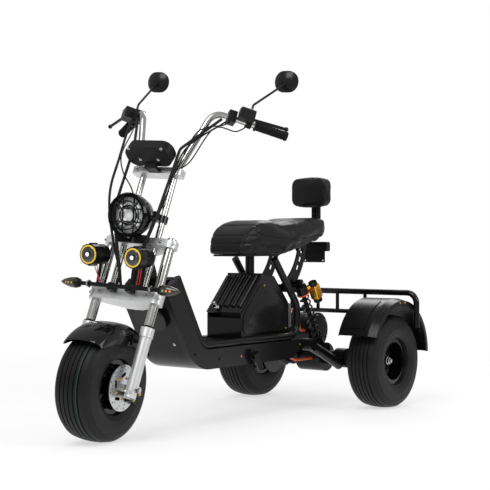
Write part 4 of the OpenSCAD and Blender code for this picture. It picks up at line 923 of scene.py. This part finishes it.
lens, rim, led, lead, bowlRings = (bmesh.new() for _ in range(5))
for s in sides:
    pts, low, high = nodeSpots("spot_rings", levelAhead, s)
    mid = sum(pts, Vector()) / len(pts)
    frontAt = mid + levelAhead * (high - mid.dot(levelAhead))
    addLathe(lens, frontAt, levelAhead, [(0, -0.006), (0.0286, -0.006), (0.0286, 0.0008), (0.0262, 0.0024),
                                         (0.0150, 0.0052),
                                         (0.0060, 0.0064), (0, 0.0066)], 40)
    for k in range(8):
        out = math.cos(k * math.pi / 4) * forkLeft + math.sin(k * math.pi / 4) * levelUp
        addBlock(rim, frontAt - levelAhead * 0.030 + out * 0.0395, turnTo(out, levelAhead), (0.050, 0.0032, 0.006),
                 0.0012)
    addTorus(rim, frontAt - levelAhead * 0.003, levelAhead, 0.0352, 0.0020, 44, 8)
    addLathe(led, frontAt + levelAhead * 0.0050, levelAhead, [(0.0078, -0.001), (0.0078, 0.0012), (0.0050, 0.0026),
                                                              (0, 0.0030)], 20)
    addTorus(bowlRings, frontAt + levelAhead * 0.0032, levelAhead, 0.0190, 0.0013, 36, 6)
    root = forkAt(104, s * 97, 420)
    start = onSkin("spot_lamps", root - levelUp * 0.05, levelUp)
    if start:
        for shift in (-5, 5):
            a = start[0] + forkLeft * shift * mm + levelUp * 0.002
            b = forkAt(72, s * (84 + shift), 366)
            addTube(lead, smoothPath([a, a - levelUp * 0.010, (a + b) / 2 - levelUp * 0.010, b]), 0.0016, 8)
piece("spotLenses", lens, screenGlass, "fork")
piece("spotBowls", bowlRings, chromeTube, "fork")
piece("spotTrim", rim, blackMetal, "fork")
piece("spotLeds", led, whiteLamp, "fork")
piece("spotLeads", lead, redPlastic, "fork", 60)

shell, nut, dots, dotsGreen = bmesh.new(), bmesh.new(), bmesh.new(), bmesh.new()
for s in sides:
    root, way = forkAt(64, s * 130.3, 357), forkLeft * s
    addLathe(shell, root, way, [(0.0198, 0.058), (0.0206, 0.062), (0.0188, 0.088), (0.0108, 0.116), (0.0008, 0.1328),
                                (0, 0.1329)], 32)
    addLathe(nut, root, way, [(0.0100, 0.001), (0.0150, 0.001), (0.0150, 0.009), (0.0128, 0.012), (0.0100, 0.012)], 6)
    for k, reach in enumerate((0.070, 0.084, 0.098)):
        hit = onSkin("turn_signals", root + way * reach + levelAhead * 0.08, -levelAhead)
        if hit:
            addLathe(dotsGreen if k == 0 else dots, hit[0], hit[1],
                     [(0.0040, -0.002), (0.0040, 0.0016), (0.0022, 0.0030), (0, 0.0033)], 14)
piece("signalLenses", shell, smokedLens, "fork")
piece("signalNuts", nut, chromeTube, "fork")
piece("signalDots", dots, amberDot, "fork")
piece("signalGreens", dotsGreen, greenDot, "fork")

dashMid = forkAt(110, 0, 874)
dashBolts = [onSkin("dash_pod", dashMid + levelAhead * 0.2 + forkLeft * y * mm + levelUp * z * mm, -levelAhead)
             for y, z in ((-72, 16), (72, 16), (-40, -22), (40, -22))]
screws("dashBolts", dashBolts, brightSteel, "fork", 4.4)
bm = bmesh.new()
screenHit = onSkin("dash_pod", dashMid - levelAhead * 0.2 + levelUp * 0.006, levelAhead)
if screenHit:
    addBlock(bm, screenHit[0], lampTurn, (0.120, 0.052, 0.005), 0.002)
piece("dashScreen", bm, screenGlass, "fork")
print("front lamps dressed")

# Front fender: a thin shell over the wheel, its sides lowest between the legs
fenderSet = {"radius": 0.2265, "half": 0.0822, "from": 27, "to": 129, "steps": 40, "thick": 0.0024, "drop": 0.046}


def fenderRow(turn, share):
    skirt = fenderSet["drop"] * math.sin(math.pi * min(max(share, 0), 1)) ** 0.8
    r, half = fenderSet["radius"], fenderSet["half"]
    section = [(0, r + 0.0035), (0.026, r + 0.0028), (0.050, r - 0.0005), (0.058, r - 0.0030), (0.070, r - 0.0100),
               (0.0785, r - 0.0185), (half, r - 0.0275), (half + 0.0006, r - 0.0275 - skirt * 0.5),
               (half + 0.0008, r - 0.0280 - skirt)]
    full = [(-y, d) for y, d in reversed(section[1:])] + section
    ahead, up = math.cos(turn), math.sin(turn)
    return [wheelCentre + forkAhead * d * ahead + forkUp * d * up + forkLeft * y for y, d in full]


bm = bmesh.new()
rows = []
for i in range(fenderSet["steps"] + 1):
    share = i / fenderSet["steps"]
    turn = math.radians(fenderSet["from"] + (fenderSet["to"] - fenderSet["from"]) * share)
    rows.append([bm.verts.new(p) for p in fenderRow(turn, share)])
for one, two in zip(rows, rows[1:]):
    for k in range(len(one) - 1):
        bm.faces.new([one[k], one[k + 1], two[k + 1], two[k]])
fender = piece("frontFenderShell", bm, glossBlack, "fork", 40)
wall = fender.modifiers.new("wall", "SOLIDIFY")
wall.thickness = fenderSet["thick"]
wall.offset = 0
edge = fender.modifiers.new("edge", "BEVEL")
edge.width = 0.0008
edge.segments = 2
edge.limit_method = "ANGLE"
bakeModifiers(fender)
bm = bmesh.new()
for s in sides:
    addTube(bm, [forkAt(0, s * y, 178) for y in (82.5, 95, 106.5)], 0.0085, 18)
    addBlock(bm, forkAt(0, s * 86.5, 178), forkTurn, (0.034, 0.004, 0.046), 0.0015)
piece("fenderStruts", bm, blackMetal, "fork")
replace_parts(fender, "front_fender")

# Front wheel
bm = bmesh.new()
addTorus(bm, wheelCentre + forkLeft * 0.031, forkLeft, 0.2006, 0.0012, 96, 6)
piece("frontTyreLine", bm, tealLine, "front_wheel")


def wheelScrews(centre, axis, node, ringR, count, reach):
    turn = turnTo(axis)
    return [onSkin(node, centre + axis * reach + turn @ Vector((ringR * math.cos(a), ringR * math.sin(a), 0)), -axis)
            for a in angles(count, 0.5)]


screws("discBolts", wheelScrews(wheelCentre, forkLeft, "front_disc", 0.040, 5, 0.15), brass, "front_wheel", 4.2)

# Rear wheels
wheelSet = {"bolts": 5, "boltRing": 0.036, "nut": 0.0150}
for s, name in ((1, "left"), (-1, "right")):
    out = acrossAxis * s
    hub = deckAt(0, 0, 0) + Vector((0, 0, axleZ))
    screws(name + "HubBolts", wheelScrews(hub, out, name + "_rim", wheelSet["boltRing"], wheelSet["bolts"], 0.6),
           blackMetal, "rear_wheel_" + name, 4.6)
    hit = onSkin(name + "_rim", hub + out * 0.6, -out)
    if hit:
        bm = bmesh.new()
        addLathe(bm, hit[0], out, [(0, -0.002), (0.0185, -0.002), (0.0185, 0.002), (wheelSet["nut"], 0.002),
                                   (wheelSet["nut"], 0.011),
                                   (0.0105, 0.013), (0.0095, 0.018), (0, 0.019)], 6)
        piece(name + "HubNut", bm, brightSteel, "rear_wheel_" + name)
print("wheels dressed")

# Body: screws, side panels, lock, lamps
sideScrews = {
    "railBolts": ("side_rails", 200, ((1010, 290), (860, 262), (430, 262)), blackMetal, 3.6),
    "railBrass": ("side_rails", 200, ((720, 262), (300, 282)), brass, 3.2),
    "bracketBolts": ("seat_brackets", 260, ((240, 690), (330, 570), (280, 545)), brightSteel, 4.0),
    "fenderBolts": ("rear_fenders", 600, ((-20, 458), (20, 458)), brass, 3.4),
}
for name, (node, y, spots, mat, size) in sideScrews.items():
    screws(name, [onSkin(node, deckAt(x, s * y, z), (0, -s, 0)) for x, z in spots for s in sides], mat, "chassis",
           size)
screws("shieldBolts", [onSkin("leg_shield", deckAt(1500, y, z), (-1, 0, 0)) for z in (330, 500) for y in (-62, 62)],
       brightSteel, "chassis", 4.2)
screws("motorBolts", [onSkin("drive_motor", deckAt(74 + 66 * math.cos(a), 200, 328 + 66 * math.sin(a)), (0, -1, 0))
                      for a in (math.pi * k / 3 + 0.4 for k in range(6))], brightSteel, "chassis", 4.2)
screws("plateBolts", [onSkin("tail_lamp", deckAt(-200, y, 668), (1, 0, 0)) for y in (-34, 34)], brightSteel,
       "chassis", 3.6)

panelSet = {"outline": ((356, 346), (652, 346), (668, 362), (668, 420), (548, 548), (500, 548), (360, 452)),
            "crease": ((380, 360), (560, 360), (640, 392), (560, 478), (512, 520), (496, 520), (390, 446))}
bm = bmesh.new()
for s in sides:
    out = Vector((0, s, 0))
    addPlate(bm, [deckAt(x, s * 88.3, z) for x, z in panelSet["outline"]], out, 0.0026)
    addPlate(bm, [deckAt(x, s * 90.2, z) for x, z in panelSet["crease"]], out, 0.0022, 0.0018)
piece("boxSidePanels", bm, darkGrey, "chassis")
screws("panelScrews", [(deckAt(x, s * 91.0, z), Vector((0, s, 0))) for x,
                       z in ((368, 354), (524, 540)) for s in sides],
       brass, "chassis", 2.8)

ovals, strip = bmesh.new(), bmesh.new()
for y in (-46, 46):
    hit = onSkin("tail_lamp", deckAt(-200, y, 700), (1, 0, 0))
    if hit:
        ring = [hit[0] + Vector((0.0004, 0.028 * math.cos(a), 0.0125 * math.sin(a)))
                for a in angles(40)]
        addPlate(ovals, ring, Vector((-1, 0, 0)), 0.0042, 0.0015)
hit = onSkin("tail_lamp", deckAt(-200, 0, 700), (1, 0, 0))
if hit:
    addBlock(strip, hit[0], Matrix.Identity(3), (0.006, 0.028, 0.020), 0.002)
piece("tailOvals", ovals, whiteLamp, "chassis")
piece("tailRed", strip, redPlastic, "chassis")

shockSet = {"top": (280, 545), "low": (118, 262), "half": 100, "ring": 0.058}
shockTop, shockLow = shockSet["top"], shockSet["low"]
shockWay = (deckAt(shockLow[0], 0, shockLow[1]) - deckAt(shockTop[0], 0, shockTop[1])).normalized()


def reservoirEnds(side):
    pts = [v.co.copy() for v in nodes["shock_reservoirs"].data.vertices if v.co.y * side > 0]
    ends = []
    for sign in sides:
        edge = max(p.dot(shockWay) * sign for p in pts)
        cap = [p for p in pts if p.dot(shockWay) * sign > edge - 0.001]
        ends.append(sum(cap, Vector()) / len(cap))
    return ends


rings, caps, sleeves = bmesh.new(), bmesh.new(), bmesh.new()
for s in sides:
    addTorus(rings, deckAt(shockTop[0], s * shockSet["half"], shockTop[1]) + shockWay * shockSet["ring"], shockWay,
             0.0245, 0.0032, 36, 8)
    ends = reservoirEnds(s)
    for sign, end in zip(sides, ends):
        addLathe(caps, end, shockWay * sign, [(0.0184, -0.016), (0.0194, -0.015), (0.0194, -0.001), (0.0170, 0.0012),
                                              (0, 0.0013)], 32)
    addBlock(sleeves, (ends[0] + ends[1]) / 2, turnTo(shockWay, acrossAxis), (0.040, 0.040, 0.064), 0.007, 4)
piece("shockRings", rings, orangeCable, "chassis")
piece("reservoirCaps", caps, blackMetal, "chassis")
piece("reservoirSleeves", sleeves, goldAnodised, "chassis")

hinge = Vector(joints["lid_hinge"]["pos_m"])
slope = math.radians(46.9)
lidDown, lidOut = Vector((math.cos(slope), 0, -math.sin(slope))), Vector((math.sin(slope), 0, math.cos(slope)))
lockHit = onSkin("box_lid", hinge + lidDown * 0.1938 + Vector((0, -0.034, 0)) + lidOut * 0.1, -lidOut)
if lockHit:
    bm = bmesh.new()
    at = lockHit[0]
    addLathe(bm, at, lidOut, [(0.0085, -0.001), (0.0085, 0.0025), (0.0070, 0.0035), (0, 0.0036)], 28)
    addBlock(bm, at + lidOut * 0.010, Matrix((lidDown, acrossAxis, lidOut)).transposed(), (0.0065, 0.0020, 0.016),
             0.0006)
    addTorus(bm, at + lidOut * 0.024, acrossAxis, 0.0068, 0.0018, 26, 8)
    addTorus(bm, at + lidOut * 0.031 - Vector((0, 0, 0.010)), Vector((0.2, 0.97, 0.1)).normalized(), 0.0125, 0.0010,
             36, 6)
    piece("lockAndKey", bm, brightSteel, "lid")
print("body dressed")

# Stage: pale floor with the shadow, white surroundings, soft lamps
stageSet = {"mirrored": 0.5, "radius": 7.0, "fadeFrom": 1.5, "fadeTo": 3.4, "floor": (0.93, 0.93, 0.93),
            "ambient": 0.62, "pale": 0.62,
            "lampAim": 0.5, "cardAim": 0.9, "card": (0.03, 0.03, 0.03)}
cardSet = [((-1.0, 5.0, 0.9), 3.4, 1.9), ((5.2, -1.8, 0.9), 3.0, 1.9)]
bm = bmesh.new()
bmesh.ops.create_circle(bm, cap_ends=True, segments=96, radius=stageSet["radius"])
floor = addObject("paleFloor", meshFrom(bm, "paleFloor"))
floorMat = bpy.data.materials.new("paleFloor")
floorMat.use_nodes = True
tree = floorMat.node_tree
shader, output = tree.nodes["Principled BSDF"], tree.nodes["Material Output"]
shader.inputs["Base Color"].default_value = (*stageSet["floor"], 1)
shader.inputs["Roughness"].default_value = 0.9
shader.inputs["Specular IOR Level"].default_value = 0.1
where = tree.nodes.new("ShaderNodeTexCoord").outputs["Object"]
reach = tree.nodes.new("ShaderNodeVectorMath")
reach.operation = "LENGTH"
tree.links.new(where, reach.inputs[0])
fade = tree.nodes.new("ShaderNodeMapRange")
fade.interpolation_type = "SMOOTHSTEP"
for label, value in (("From Min", stageSet["fadeFrom"]), ("From Max", stageSet["fadeTo"]),
                     ("Value", reach.outputs["Value"])):
    feed(tree, fade.inputs[label], value)
gone = tree.nodes.new("ShaderNodeBsdfTransparent")
lift = addNode(tree, "ShaderNodeEmission", Color=(1, 1, 1, 1))
paleShare = mathNode(tree, "MULTIPLY", seenRays(tree)[1], stageSet["pale"])
lifted = mixShaders(tree, paleShare, shader, lift)
tree.links.new(mixShaders(tree, fade.outputs[0], lifted, gone).outputs[0], output.inputs["Surface"])
floor.data.materials.append(floorMat)

world = bpy.data.worlds.new("studio")
scene.world = world
world.use_nodes = True
tree = world.node_tree
tree.nodes.clear()
rays, seen = seenRays(tree)
dimmed = mathNode(tree, "MULTIPLY", rays["Is Glossy Ray"], 1 - stageSet["mirrored"])
white = addNode(tree, "ShaderNodeBackground", Color=(1, 1, 1, 1), Strength=mathNode(tree, "SUBTRACT", 1.0, dimmed))
soft = addNode(tree, "ShaderNodeBackground", Color=(1, 1, 1, 1), Strength=stageSet["ambient"])
worldOut = tree.nodes.new("ShaderNodeOutputWorld")
tree.links.new(mixShaders(tree, seen, soft, white).outputs[0], worldOut.inputs["Surface"])

lampSet = [("keyLamp", (3.0, 0.6, 4.2), 110, 2.4), ("sideLamp", (-0.6, 4.2, 2.6), 70, 2.2),
           ("backLamp", (-3.6, -1.4, 3.4), 50, 2.0)]
for name, place, power, size in lampSet:
    data = bpy.data.lights.new(name, "AREA")
    data.energy = power
    data.size = size
    lamp = addObject(name, data)
    lamp.location = place
    lamp.rotation_euler = (Vector((0, 0, stageSet["lampAim"])) - Vector(place)).to_track_quat("-Z", "Y").to_euler()

# Dark cards beside the set, seen only in reflections
cardMat = bpy.data.materials.new("darkCard")
cardMat.use_nodes = True
cardMat.node_tree.nodes["Principled BSDF"].inputs["Base Color"].default_value = (*stageSet["card"], 1)
for k, (place, width, height) in enumerate(cardSet):
    bm = bmesh.new()
    toward = (Vector((0, 0, stageSet["cardAim"])) - Vector(place)).normalized()
    turn = turnTo(toward, (0, 0, 1))
    bm.faces.new([bm.verts.new(Vector(place) + turn @ Vector((a * height / 2, b * width / 2, 0)))
                  for a, b in ((-1, -1), (1, -1), (1, 1), (-1, 1))])
    card = addObject("darkCard%d" % k, meshFrom(bm, "darkCard%d" % k))
    card.data.materials.append(cardMat)
    for flag in ("visible_camera", "visible_diffuse", "visible_shadow", "visible_transmission"):
        setattr(card, flag, False)
print("stage set")
